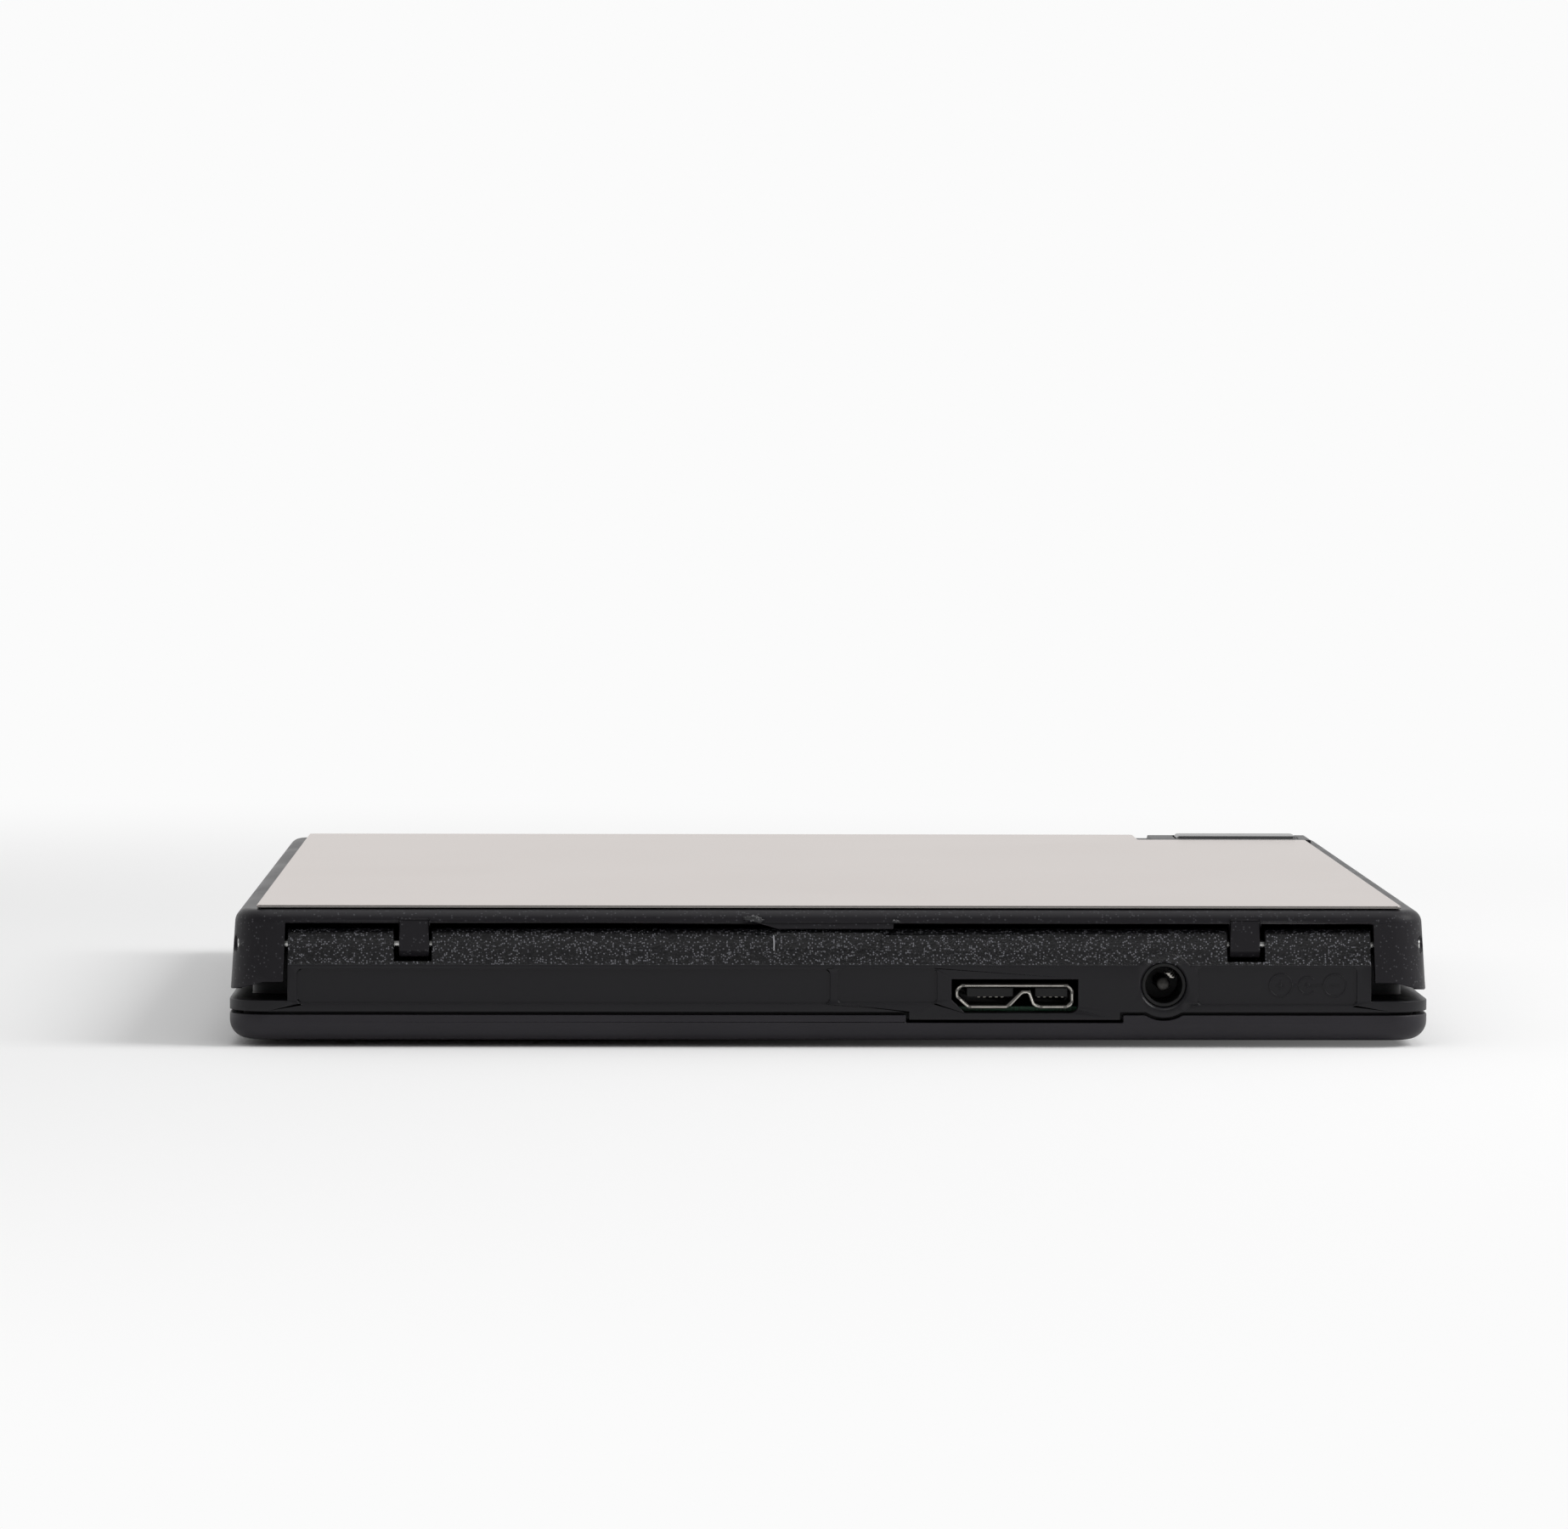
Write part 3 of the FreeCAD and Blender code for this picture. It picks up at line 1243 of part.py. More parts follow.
def export(doc, pieces):
    """Checks every object and writes one file for each piece."""
    for thing in doc.Objects:
        if {"Invalid", "Error"} & set(thing.State):
            raise RuntimeError(f"{thing.Label} did not compute: {thing.State}")
    for piece in pieces:
        if piece.Shape.isNull() or not piece.Shape.isValid():
            raise RuntimeError(f"{piece.Label} has no valid shape")
    os.makedirs("parts", exist_ok=True)
    for piece in pieces:
        piece.Shape.exportStep(f"parts/{piece.Label}.step")
        print(piece.Label, round(piece.Shape.Volume, 1), len(piece.Shape.Solids))


document, made = build()
export(document, made)
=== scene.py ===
"""The looks of a portable disc writer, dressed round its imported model.

The case stands on its feet at z = 0, its lid opens towards -Y, and its hinge and sockets face +Y.
Lengths are in metres, but for the sizes of a sub-assembly that says it holds millimetres.
"""

from __future__ import annotations

import json
import logging
import math
from collections.abc import Callable, Sequence
from dataclasses import dataclass
from enum import Enum

import bmesh
import bpy
from mathutils import Matrix, Vector


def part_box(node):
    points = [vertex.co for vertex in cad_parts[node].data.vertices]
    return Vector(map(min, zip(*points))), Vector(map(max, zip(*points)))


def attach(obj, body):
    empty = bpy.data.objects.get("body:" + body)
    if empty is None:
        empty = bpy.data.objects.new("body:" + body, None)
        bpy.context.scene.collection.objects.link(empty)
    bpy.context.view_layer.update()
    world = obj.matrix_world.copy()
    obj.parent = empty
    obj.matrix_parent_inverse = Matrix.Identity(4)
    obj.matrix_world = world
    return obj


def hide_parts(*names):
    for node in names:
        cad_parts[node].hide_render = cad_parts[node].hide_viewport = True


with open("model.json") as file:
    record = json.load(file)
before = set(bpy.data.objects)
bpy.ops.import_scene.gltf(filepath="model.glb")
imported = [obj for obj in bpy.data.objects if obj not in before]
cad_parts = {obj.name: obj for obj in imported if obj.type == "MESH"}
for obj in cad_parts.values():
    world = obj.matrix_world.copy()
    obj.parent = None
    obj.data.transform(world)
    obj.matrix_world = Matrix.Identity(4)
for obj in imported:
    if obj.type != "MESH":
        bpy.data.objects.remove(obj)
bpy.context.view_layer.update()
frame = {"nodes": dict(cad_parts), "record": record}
MM = 0.001
WELD = 0.0005 * MM
TURNED_SHARP = math.radians(35)
BODY_OF = {node: body for body, nodes in frame["record"]["behaviour"]["bodies"].items() for node in nodes}
log = logging.getLogger("disc_writer")

Colour = tuple[float, float, float]
Point = tuple[float, float, float]
Pair = tuple[float, float]
Profile = Sequence[Pair]
Box = tuple[Vector, Vector]
Socket = bpy.types.NodeSocket


class Grain(Enum):
    """What gives a finish its fine relief."""

    EVEN = "even"
    SPARK = "spark"
    DRAWN = "drawn"


class NodeTree:
    """A node tree, with short calls that add and join its nodes."""

    def __init__(self, tree: bpy.types.NodeTree) -> None:
        """Keeps the tree that the nodes go into."""
        self.tree = tree

    def add(self, kind: str, inputs: dict | None = None, **settings: object) -> bpy.types.Node:
        """Adds one node.

        Args:
            kind: The node's type.
            inputs: Socket name or number to a value, or to another node's output.
            settings: Attributes of the node itself.

        Returns:
            The new node.
        """
        node = self.tree.nodes.new(kind)
        for word, value in settings.items():
            setattr(node, word, value)
        for word, value in (inputs or {}).items():
            if isinstance(value, Socket):
                self.tree.links.new(value, node.inputs[word])
            else:
                node.inputs[word].default_value = value
        return node

    def reckon(self, operation: str, first: Socket, second: Socket | float = 0.0) -> Socket:
        """Does one operation, under the name that Blender gives it, on one value or two."""
        return self.add("ShaderNodeMath", {0: first, 1: second}, operation=operation).outputs[0]

    def spread(self, value: Socket, ends: Pair, to: Pair = (0.0, 1.0), **settings: object) -> Socket:
        """Stretches a value over a range, and keeps it inside.

        Args:
            value: The value.
            ends: Where it starts and ends.
            to: What those ends become.
            settings: Attributes of the node itself.

        Returns:
            The new value.
        """
        words = ("From Min", "From Max", "To Min", "To Max")
        inputs = {"Value": value, **dict(zip(words, (*ends, *to)))}
        return self.add("ShaderNodeMapRange", inputs, **settings).outputs["Result"]

    def pick(self, test: Socket, no: Socket | float, yes: Socket | float) -> Socket:
        """Gives the number no where the test is 0, and yes where it is 1."""
        # Sockets 2 and 3 of a mix node hold its numbers.
        return self.add("ShaderNodeMix", {0: test, 2: no, 3: yes}).outputs[0]

    def blend(self, share: Socket, first: Socket | Colour, second: Colour) -> Socket:
        """Mixes two colours.

        Args:
            share: 0 for the first and 1 for the second.
            first: The first colour, or an output that gives it.
            second: The second colour.

        Returns:
            The mixed colour.
        """
        start = first if isinstance(first, Socket) else (*first, 1)
        # Sockets 6 and 7 of a mix node hold its colours.
        inputs = {0: share, 6: start, 7: (*second, 1)}
        return self.add("ShaderNodeMix", inputs, data_type="RGBA").outputs[2]


class MaterialTree(NodeTree):
    """A material's node tree, whose patterns lie in the object's own space.

    Attributes:
        EDGE: How alike the true and the rounded normal are where an edge begins, and where it is full.
        GLINT: How far from its cell's middle a painted glint ends, and where it is full, as shares of the
            cell.
        EDGE_RAYS: How many rays round an edge.
    """

    EDGE = (0.995, 0.85)
    GLINT = (0.55, 0.2)
    EDGE_RAYS = 6

    def __init__(self, name: str) -> None:
        """Makes an empty material.

        Args:
            name: The material's name.
        """
        self.material = bpy.data.materials.new(name)
        self.material.use_nodes = True
        super().__init__(self.material.node_tree)
        self.shader = self.tree.nodes["Principled BSDF"]
        self.place = self.add("ShaderNodeTexCoord").outputs["Object"]

    def fix(self, values: dict[str, object]) -> None:
        """Sets the shader's own sockets, by name, to constants."""
        for word, value in values.items():
            self.shader.inputs[word].default_value = value

    def feed(self, socket: Socket, word: str) -> None:
        """Joins an output to one of the shader's own sockets."""
        self.tree.links.new(socket, self.shader.inputs[word])

    def noise(self, size: float, detail: float = 2.0, stretch: Point = (1, 1, 1)) -> Socket:
        """Adds noise.

        Args:
            size: Size of its lumps.
            detail: How many finer layers it has.
            stretch: How much longer the lumps are along each axis.

        Returns:
            The noise, from 0 to 1.
        """
        scale = tuple(1 / (size * factor) for factor in stretch)
        mapped = self.add("ShaderNodeMapping", {"Vector": self.place, "Scale": scale})
        inputs = {"Vector": mapped.outputs[0], "Scale": 1.0, "Detail": detail}
        return self.add("ShaderNodeTexNoise", inputs).outputs["Fac"]

    def remap(self, noise: Socket, low: float, high: float, reach: float = 0.2) -> Socket:
        """Stretches noise, which reaches so far each way from 0.5, over the range from low to high."""
        return self.spread(noise, (0.5 - reach, 0.5 + reach), (low, high))

    def voronoi(self, size: float, **settings: object) -> bpy.types.Node:
        """Adds a pattern of random cells of a size."""
        return self.add("ShaderNodeTexVoronoi", {"Vector": self.place, "Scale": 1 / size}, **settings)

    def soft_edges(self, radius: float) -> tuple[Socket, Socket]:
        """Rounds the edges for the light alone.

        Args:
            radius: Radius of the rounding.

        Returns:
            The rounded normal, and a share that is 1 on edges and 0 on flats.
        """
        rounded = self.add("ShaderNodeBevel", {"Radius": radius}, samples=self.EDGE_RAYS).outputs[0]
        flat = self.add("ShaderNodeNewGeometry").outputs["Normal"]
        likeness = self.add("ShaderNodeVectorMath", {0: rounded, 1: flat}, operation="DOT_PRODUCT")
        return rounded, self.spread(likeness.outputs["Value"], self.EDGE)

    def painted_glints(self, size: float, share: float) -> Socket:
        """Picks a share of small cells at random, where glints are painted.

        Args:
            size: Size of a cell.
            share: Share of the cells that is picked.

        Returns:
            1 in the picked cells' middles, falling to 0.
        """
        cells = self.voronoi(size).outputs
        chance = self.add("ShaderNodeSeparateColor", {"Color": cells["Color"]}).outputs["Red"]
        picked = self.reckon("GREATER_THAN", chance, 1 - share)
        return self.reckon("MULTIPLY", picked, self.spread(cells["Distance"], self.GLINT))

    def relief(self, layers: Sequence[tuple[Socket, float]], normal: Socket) -> None:
        """Lays relief on the surface.

        Args:
            layers: Heights from 0 to 1, each with its depth in metres.
            normal: The normal that the relief starts from.
        """
        for height, depth in layers:
            inputs = {"Height": height, "Distance": depth, "Normal": normal}
            normal = self.add("ShaderNodeBump", inputs).outputs[0]
        self.feed(normal, "Normal")


@dataclass(frozen=True)
class Finish:
    """A finish whose colour and gloss wander a little, with a fine relief and edges painted lighter, partly
    as wear and partly as a painted highlight.

    Attributes:
        name: The finish's name.
        colour: Its colour in linear light.
        roughness: Its middle roughness.
        metallic: 1 for bare metal.
        specular: Level of its mirror reflection; 0.5 is usual.
        grain: Size of the fine relief's lumps.
        depth: Depth of the fine relief.
        wander: Share by which the colour differs from place to place.
        gloss_wander: How far the roughness differs from place to place.
        patch: Size of those places.
        stretch: How much longer the lumps of a drawn relief are along each axis.
        edge: Radius of the softened edges.
        wear_and_highlight: How much lighter the edges are, as a colour that is added: partly wear, partly a
            painted highlight along the edges.
        kind: What gives the fine relief.
        painted_glints: Share of small cells that holds a pale speck, a painted glint that stands in for
            sparkle of light.
        glint_size: Size of those cells.
        glint_colour: Colour of the painted glints.
        lump_colour: Colour of a sparkling grain's high lumps.
        PATCH_DETAIL: How many finer layers the wandering has.
        GRAIN_DETAIL: How many finer layers a sparkling or drawn grain has.
        LUMP: Size of the coloured lumps, in grains.
        LUMP_REACH: How far from its middle the noise of the coloured lumps goes.
        PIT: Size of the pits of a sparkling grain, in grains.
        PIT_DEPTH: Depth of those pits, as a share of the relief's.
    """

    name: str
    colour: Colour
    roughness: float
    metallic: float = 0.0
    specular: float = 0.5
    grain: float = 0.25 * MM
    depth: float = 0.004 * MM
    wander: float = 0.08
    gloss_wander: float = 0.04
    patch: float = 9 * MM
    stretch: Point = (1, 1, 1)
    edge: float = 0.1 * MM
    # Lighter edges: partly wear, partly a painted highlight.
    wear_and_highlight: float = 0.012
    kind: Grain = Grain.EVEN
    painted_glints: float = 0.0
    glint_size: float = 0.3 * MM
    glint_colour: Colour = (0.06, 0.06, 0.065)
    lump_colour: Colour = (0.008, 0.0078, 0.0095)

    PATCH_DETAIL = 4.0
    GRAIN_DETAIL = 3.0
    LUMP = 1.3
    LUMP_REACH = 0.14
    PIT = 0.9
    PIT_DEPTH = 0.6

    def make(self) -> bpy.types.Material:
        """Builds the material, or finds it.

        Returns:
            The material.
        """
        name = f"{self.name}_finish"
        known = bpy.data.materials.get(name)
        if known:
            return known
        graph = MaterialTree(name)
        graph.fix({"Metallic": self.metallic, "Specular IOR Level": self.specular})
        normal, wear_and_highlight_edges = graph.soft_edges(self.edge)
        patches = graph.noise(self.patch, self.PATCH_DETAIL)
        # Edges are painted lighter: partly wear, partly a painted highlight along them.
        graph.feed(graph.blend(wear_and_highlight_edges, self.tints(graph, patches), self.lighter(self.wear_and_highlight)), "Base Color")
        low, high = self.roughness - self.gloss_wander, self.roughness + self.gloss_wander
        graph.feed(graph.remap(patches, low, high), "Roughness")
        self.own(graph)
        graph.relief(self.layers(graph), normal)
        return graph.material

    def lighter(self, gain: float) -> Colour:
        """Gives the colour with a gain on each channel."""
        return tuple(min(1.0, channel + gain) for channel in self.colour)

    def tints(self, graph: MaterialTree, patches: Socket) -> Socket:
        """Colours the flats: patches a little apart, then lumps, and painted glints where the finish has
        them.

        Args:
            graph: The material's tree.
            patches: The noise that the colour wanders with.

        Returns:
            The colour.
        """
        low = tuple(channel * (1 - self.wander) for channel in self.colour)
        high = tuple(channel * (1 + self.wander) for channel in self.colour)
        colour = graph.blend(graph.remap(patches, 0.0, 1.0), low, high)
        if self.kind is Grain.SPARK:
            noise = graph.noise(self.LUMP * self.grain, self.GRAIN_DETAIL)
            lumps = graph.remap(noise, 0.0, 1.0, self.LUMP_REACH)
            colour = graph.blend(lumps, colour, self.lump_colour)
        # Pale specks painted into the colour stand in for glints of light.
        if self.painted_glints:
            colour = graph.blend(graph.painted_glints(self.glint_size, self.painted_glints), colour, self.glint_colour)
        return colour

    def layers(self, graph: MaterialTree) -> list[tuple[Socket, float]]:
        """Makes the relief's layers.

        Args:
            graph: The material's tree.

        Returns:
            Heights, each with its depth.
        """
        if self.kind is Grain.DRAWN:
            return [(graph.noise(self.grain, self.GRAIN_DETAIL, self.stretch), self.depth)]
        if self.kind is Grain.EVEN:
            return [(graph.noise(self.grain), self.depth)]
        pits = graph.voronoi(self.PIT * self.grain).outputs["Distance"]
        lumps = graph.noise(self.grain, self.GRAIN_DETAIL)
        return [(lumps, self.depth), (pits, self.PIT_DEPTH * self.depth)]

    def own(self, graph: MaterialTree) -> None:
        """Adds what only this finish has."""


@dataclass(frozen=True)
class PlateFinish(Finish):
    """Dark satin metal of the top plate, which turns warm and bright at a low angle.

    Attributes:
        rim_colour: Colour of its reflections at a low angle.
        lacquer: Share of a thin lacquer.
        lacquer_roughness: Roughness of that lacquer.
    """

    rim_colour: Colour = (1.0, 0.925, 0.89)
    lacquer: float = 0.25
    lacquer_roughness: float = 0.2

    def own(self, graph: MaterialTree) -> None:
        """Sets the colour of its low reflections and the lacquer."""
        graph.fix({"Specular Tint": (*self.rim_colour, 1)})
        graph.fix({"Coat Weight": self.lacquer, "Coat Roughness": self.lacquer_roughness})


@dataclass(frozen=True)
class BoardFinish(Finish):
    """Circuit board: solder mask over copper tracks that show a little paler.

    Attributes:
        island: Size of the islands that the tracks run round.
        tracks: How many tracks lie side by side in that size.
        gap: Share of a track's spacing that is bare.
        track_colour: Colour of the mask over a track.
    """

    island: float = 3.6 * MM
    tracks: float = 9.0
    gap: float = 0.62
    track_colour: Colour = (0.02, 0.16, 0.07)

    def own(self, graph: MaterialTree) -> None:
        """Draws square-cornered tracks at even distances from each island's middle.

        Args:
            graph: The material's tree.
        """
        squares = graph.voronoi(self.island, distance="CHEBYCHEV")
        bands = graph.reckon("MULTIPLY", squares.outputs["Distance"], self.tracks)
        copper = graph.reckon("GREATER_THAN", graph.reckon("FRACT", bands), self.gap)
        graph.feed(graph.blend(copper, self.colour, self.track_colour), "Base Color")


@dataclass(frozen=True)
class LensFinish(Finish):
    """Coated glass of the objective lens.

    Attributes:
        clear: Share of the light that goes through.
        bend: How strongly it bends light.
        coating: Colour of its coating.
        coating_weight: Share of the coating.
    """

    clear: float = 0.85
    bend: float = 1.6
    coating: Colour = (0.45, 0.5, 1.0)
    coating_weight: float = 0.6

    def own(self, graph: MaterialTree) -> None:
        """Lets light through and adds the coating's tint."""
        graph.fix({"Transmission Weight": self.clear, "IOR": self.bend})
        graph.fix({"Coat Weight": self.coating_weight, "Coat Tint": (*self.coating, 1)})


class Finishes:
    """Every finish of the drive."""

    # The lid's lighter edges are mostly a painted highlight, such as the light line under the plate.
    LID = Finish(
        "lid_plastic", (0.0138, 0.0128, 0.0152), 0.42, specular=0.16, grain=0.3 * MM, depth=0.012 * MM,
        # Its pale specks are painted glints.
        wear_and_highlight=0.03, painted_glints=0.12, glint_size=0.22 * MM, glint_colour=(0.06, 0.06, 0.066),
    )
    BASE = Finish(
        "base_plastic", (0.0095, 0.009, 0.011), 0.44, specular=0.25, grain=0.22 * MM, depth=0.006 * MM,
    )
    SATIN = Finish(
        "socket_wall", (0.009, 0.0085, 0.0105), 0.36, specular=0.26, grain=0.6 * MM, depth=0.003 * MM,
    )
    BARREL = Finish(
        "barrel_plastic", (0.003, 0.003, 0.0036), 0.3, specular=0.4, grain=0.24 * MM, depth=0.08 * MM,
        # Its pale specks are painted glints on the coarse grain.
        kind=Grain.SPARK, painted_glints=0.34, glint_size=0.2 * MM, glint_colour=(0.19, 0.19, 0.212),
    )
    COVER = Finish(
        "cover_plastic", (0.0245, 0.0228, 0.0272), 0.46, specular=0.2, grain=0.25 * MM, depth=0.008 * MM,
    )
    PLATE = PlateFinish(
        "plate_coating", (0.25, 0.235, 0.225), 0.24, metallic=1.0, grain=0.35 * MM, depth=0.0012 * MM,
        wander=0.03, gloss_wander=0.008, patch=24 * MM, wear_and_highlight=0.1,
    )
    # Pale colour of the bar at the notch's end: a painted highlight of the notch's lit side wall.
    NOTCH_HIGHLIGHT = Finish("painted_notch_highlight", (0.34, 0.34, 0.36), 0.4, depth=0.004 * MM)
    # The stub's pale specks are painted glints on its torn surface.
    STUB = Finish(
        "gate_stub", (0.014, 0.014, 0.016), 0.3, grain=0.12 * MM, depth=0.08 * MM, painted_glints=0.3,
        glint_size=0.22 * MM, glint_colour=(0.24, 0.24, 0.25),
    )
    BUTTON = Finish("button_plastic", (0.012, 0.012, 0.014), 0.25, specular=0.4, depth=0.001 * MM)
    RUBBER = Finish("rubber", (0.014, 0.014, 0.015), 0.75, specular=0.25, grain=0.4 * MM, depth=0.02 * MM)
    ACETAL = Finish("white_acetal", (0.62, 0.61, 0.57), 0.4, depth=0.003 * MM, wander=0.04)
    STEEL = Finish(
        "bright_steel", (0.62, 0.62, 0.61), 0.24, 1.0, grain=0.08 * MM, depth=0.002 * MM, kind=Grain.DRAWN,
        stretch=(30, 1, 1), wear_and_highlight=0.1,
    )
    SOCKET = Finish(
        "tin_plate", (0.56, 0.54, 0.5), 0.3, 1.0, grain=0.12 * MM, depth=0.006 * MM, kind=Grain.DRAWN,
        stretch=(1, 24, 1), wander=0.18, patch=1.5 * MM, wear_and_highlight=0.2,
    )
    # A darker copy of the tin plate of the lips and spring: painted shade on the socket's shell.
    SHADED_TIN_PLATE = Finish(
        "tin_plate_painted_shade", (0.16, 0.155, 0.145), 0.4, 1.0, depth=0.006 * MM, patch=1.5 * MM, wander=0.2,
    )
    CONTACT = Finish(
        "contact_plate", (0.62, 0.6, 0.55), 0.36, 1.0, depth=0.003 * MM, patch=0.5 * MM, wander=0.3,
    )
    # Pin metal darkened far below bright plating: painted shade deep in the socket.
    DARKENED_PIN = Finish("pin_painted_shade", (0.06, 0.058, 0.055), 0.42, 1.0, depth=0.004 * MM, patch=0.6 * MM, wander=0.3)
    ZINC = Finish(
        "die_cast_zinc", (0.42, 0.43, 0.44), 0.42, 1.0, grain=0.5 * MM, depth=0.03 * MM, wear_and_highlight=0.15,
    )
    PRESSED = Finish(
        "zinc_plated_sheet", (0.52, 0.53, 0.55), 0.34, 1.0, grain=0.1 * MM, depth=0.003 * MM,
        kind=Grain.DRAWN, stretch=(1, 30, 1), wear_and_highlight=0.15,
    )
    BLACK_SCREW = Finish("black_zinc", (0.05, 0.05, 0.055), 0.36, 1.0, depth=0.006 * MM, wear_and_highlight=0.12)
    RESIN = Finish("chip_resin", (0.017, 0.017, 0.018), 0.55, depth=0.008 * MM)
    INSULATOR = Finish("socket_moulding", (0.007, 0.007, 0.0075), 0.4, specular=0.3, depth=0.003 * MM)
    BOARD = BoardFinish("solder_mask", (0.008, 0.085, 0.035), 0.3, depth=0.002 * MM)
    GLASS = LensFinish("lens_glass", (0.75, 0.8, 0.95), 0.05, depth=0.0, gloss_wander=0.01)
    LIGHT = Finish("clear_light", (0.55, 0.6, 0.62), 0.22, depth=0.002 * MM)


def shown(name: str, mesh: bpy.types.Mesh) -> bpy.types.Object:
    """Makes an object of a mesh that already stands in its place.

    Args:
        name: The object's name.
        mesh: Its mesh.

    Returns:
        The object, in the scene.
    """
    piece = bpy.data.objects.new(name, mesh)
    bpy.context.scene.collection.objects.link(piece)
    return piece


def mesh_of(name: str, work: bmesh.types.BMesh) -> bpy.types.Mesh:
    """Turns finished mesh work into a mesh and frees the work.

    Args:
        name: The mesh's name.
        work: The work.

    Returns:
        The mesh.
    """
    mesh = bpy.data.meshes.new(name)
    work.to_mesh(mesh)
    work.free()
    return mesh


def baked(piece: bpy.types.Object) -> bpy.types.Object:
    """Turns a piece with modifiers into one plain mesh in the same place.

    Args:
        piece: The piece.

    Returns:
        The same piece, without modifiers.
    """
    bpy.context.view_layer.update()
    graph = bpy.context.evaluated_depsgraph_get()
    mesh = bpy.data.meshes.new_from_object(piece.evaluated_get(graph))
    piece.modifiers.clear()
    piece.data = mesh
    return piece


def lathe(name: str, profile: Profile, steps: int = 48) -> bpy.types.Mesh:
    """Turns a profile round the Z axis.

    Args:
        name: The mesh's name.
        profile: Radius and height of its corners, from one pole to the other.
        steps: How many sides it has.

    Returns:
        A closed mesh, smooth where the profile turns gently.
    """
    work = bmesh.new()
    rings = []
    for radius, height in profile:
        angles = [0.0] if radius == 0 else [2 * math.pi * step / steps for step in range(steps)]
        rings.append([work.verts.new((radius * math.cos(a), radius * math.sin(a), height)) for a in angles])
    for lower, upper in zip(rings, rings[1:]):
        for step in range(steps):
            after = (step + 1) % steps
            corners = [lower[step % len(lower)], lower[after % len(lower)]]
            corners += [upper[after % len(upper)], upper[step % len(upper)]]
            work.faces.new(list(dict.fromkeys(corners)))
    bmesh.ops.recalc_face_normals(work, faces=work.faces)
    for face in work.faces:
        face.smooth = True
    mesh = mesh_of(name, work)
    mesh.set_sharp_from_angle(angle=TURNED_SHARP)
    return mesh


def quarter(steps: int) -> list[float]:
    """Gives the angles of a quarter turn in even steps, with both its ends."""
    return [math.pi / 2 * step / steps for step in range(steps + 1)]


def solids(node: str) -> list[list[Vector]]:
    """Splits a CAD node into its separate solids.

    Args:
        node: The node's name.

    Returns:
        The corners of each solid, in the same order each time.
    """
    work = bmesh.new()
    work.from_mesh(frame["nodes"][node].data)
    bmesh.ops.remove_doubles(work, verts=work.verts, dist=WELD)
    left = set(work.verts)
    found = []
    for first in work.verts:
        if first not in left:
            continue
        left.remove(first)
        open_ends = [first]
        corners = []
        while open_ends:
            corner = open_ends.pop()
            corners.append(corner.co.copy())
            for edge in corner.link_edges:
                other = edge.other_vert(corner)
                if other in left:
                    left.remove(other)
                    open_ends.append(other)
        found.append(corners)
    work.free()
    return found


def box_of(corners: Sequence[Vector]) -> Box:
    """Finds the box round points.

    Args:
        corners: The points.

    Returns:
        The box's lowest and highest corner.
    """
    low = Vector([min(corner[axis] for corner in corners) for axis in range(3)])
    high = Vector([max(corner[axis] for corner in corners) for axis in range(3)])
    return low, high


def settle(piece: bpy.types.Object, like: str, replaced: bool = True) -> None:
    """Seats a finished piece on the body of a node.

    Args:
        piece: The piece, in its place.
        like: The node whose body it takes.
        replaced: Whether it stands for that node.
    """
    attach(piece, BODY_OF[like])
    if replaced:
        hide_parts(like)
    log.info("%s rides on %s, %d faces", piece.name, BODY_OF[like], len(piece.data.polygons))


class GeometryTree(NodeTree):
    """A Geometry Nodes tree with named inputs that ends in one plain mesh of one finish."""

    def __init__(self, name: str) -> None:
        """Makes a tree with a geometry going in and one coming out.

        Args:
            name: The tree's name.
        """
        super().__init__(bpy.data.node_groups.new(name, "GeometryNodeTree"))
        self.identifiers: dict[str, str] = {}
        for way in ("INPUT", "OUTPUT"):
            self.tree.interface.new_socket("Geometry", in_out=way, socket_type="NodeSocketGeometry")
        self.start = self.add("NodeGroupInput").outputs
        self.end = self.add("NodeGroupOutput").inputs

    def want(self, word: str, kind: str = "NodeSocketFloat") -> Socket:
        """Adds a named input.

        Args:
            word: The input's name.
            kind: Its socket type.

        Returns:
            Its socket inside the tree.
        """
        wanted = self.tree.interface.new_socket(word, in_out="INPUT", socket_type=kind)
        self.identifiers[word] = wanted.identifier
        return self.start[word]

    def close(self, geometry: Socket) -> None:
        """Makes real geometry of the result, gives it its finish and sends it out.

        Args:
            geometry: The result.
        """
        real = self.add("GeometryNodeRealizeInstances", {"Geometry": geometry}).outputs[0]
        inputs = {"Geometry": real, "Material": self.want("Finish", "NodeSocketMaterial")}
        done = self.add("GeometryNodeSetMaterial", inputs).outputs[0]
        self.tree.links.new(done, self.end["Geometry"])

    def sweep(self, wires: Socket, sides: Socket | int, radius: Socket) -> Socket:
        """Draws a round section along wires and closes its ends.

        Args:
            wires: The curves that it follows.
            sides: How many sides the section has.
            radius: The section's radius.

        Returns:
            The swept mesh.
        """
        ring = self.add("GeometryNodeCurvePrimitiveCircle", {"Resolution": sides, "Radius": radius})
        inputs = {"Curve": wires, "Profile Curve": ring.outputs[0], "Fill Caps": True}
        return self.add("GeometryNodeCurveToMesh", inputs).outputs[0]

    def grow(self, name: str, mesh: bpy.types.Mesh, values: dict[str, object]) -> bpy.types.Object:
        """Runs the tree once on a mesh.

        Args:
            name: Name of the finished piece.
            mesh: What goes in.
            values: Input name to its value.

        Returns:
            A piece with a plain mesh.
        """
        piece = shown(name, mesh)
        made = piece.modifiers.new("made", "NODES")
        made.node_group = self.tree
        for word, value in values.items():
            made[self.identifiers[word]] = value
        return baked(piece)


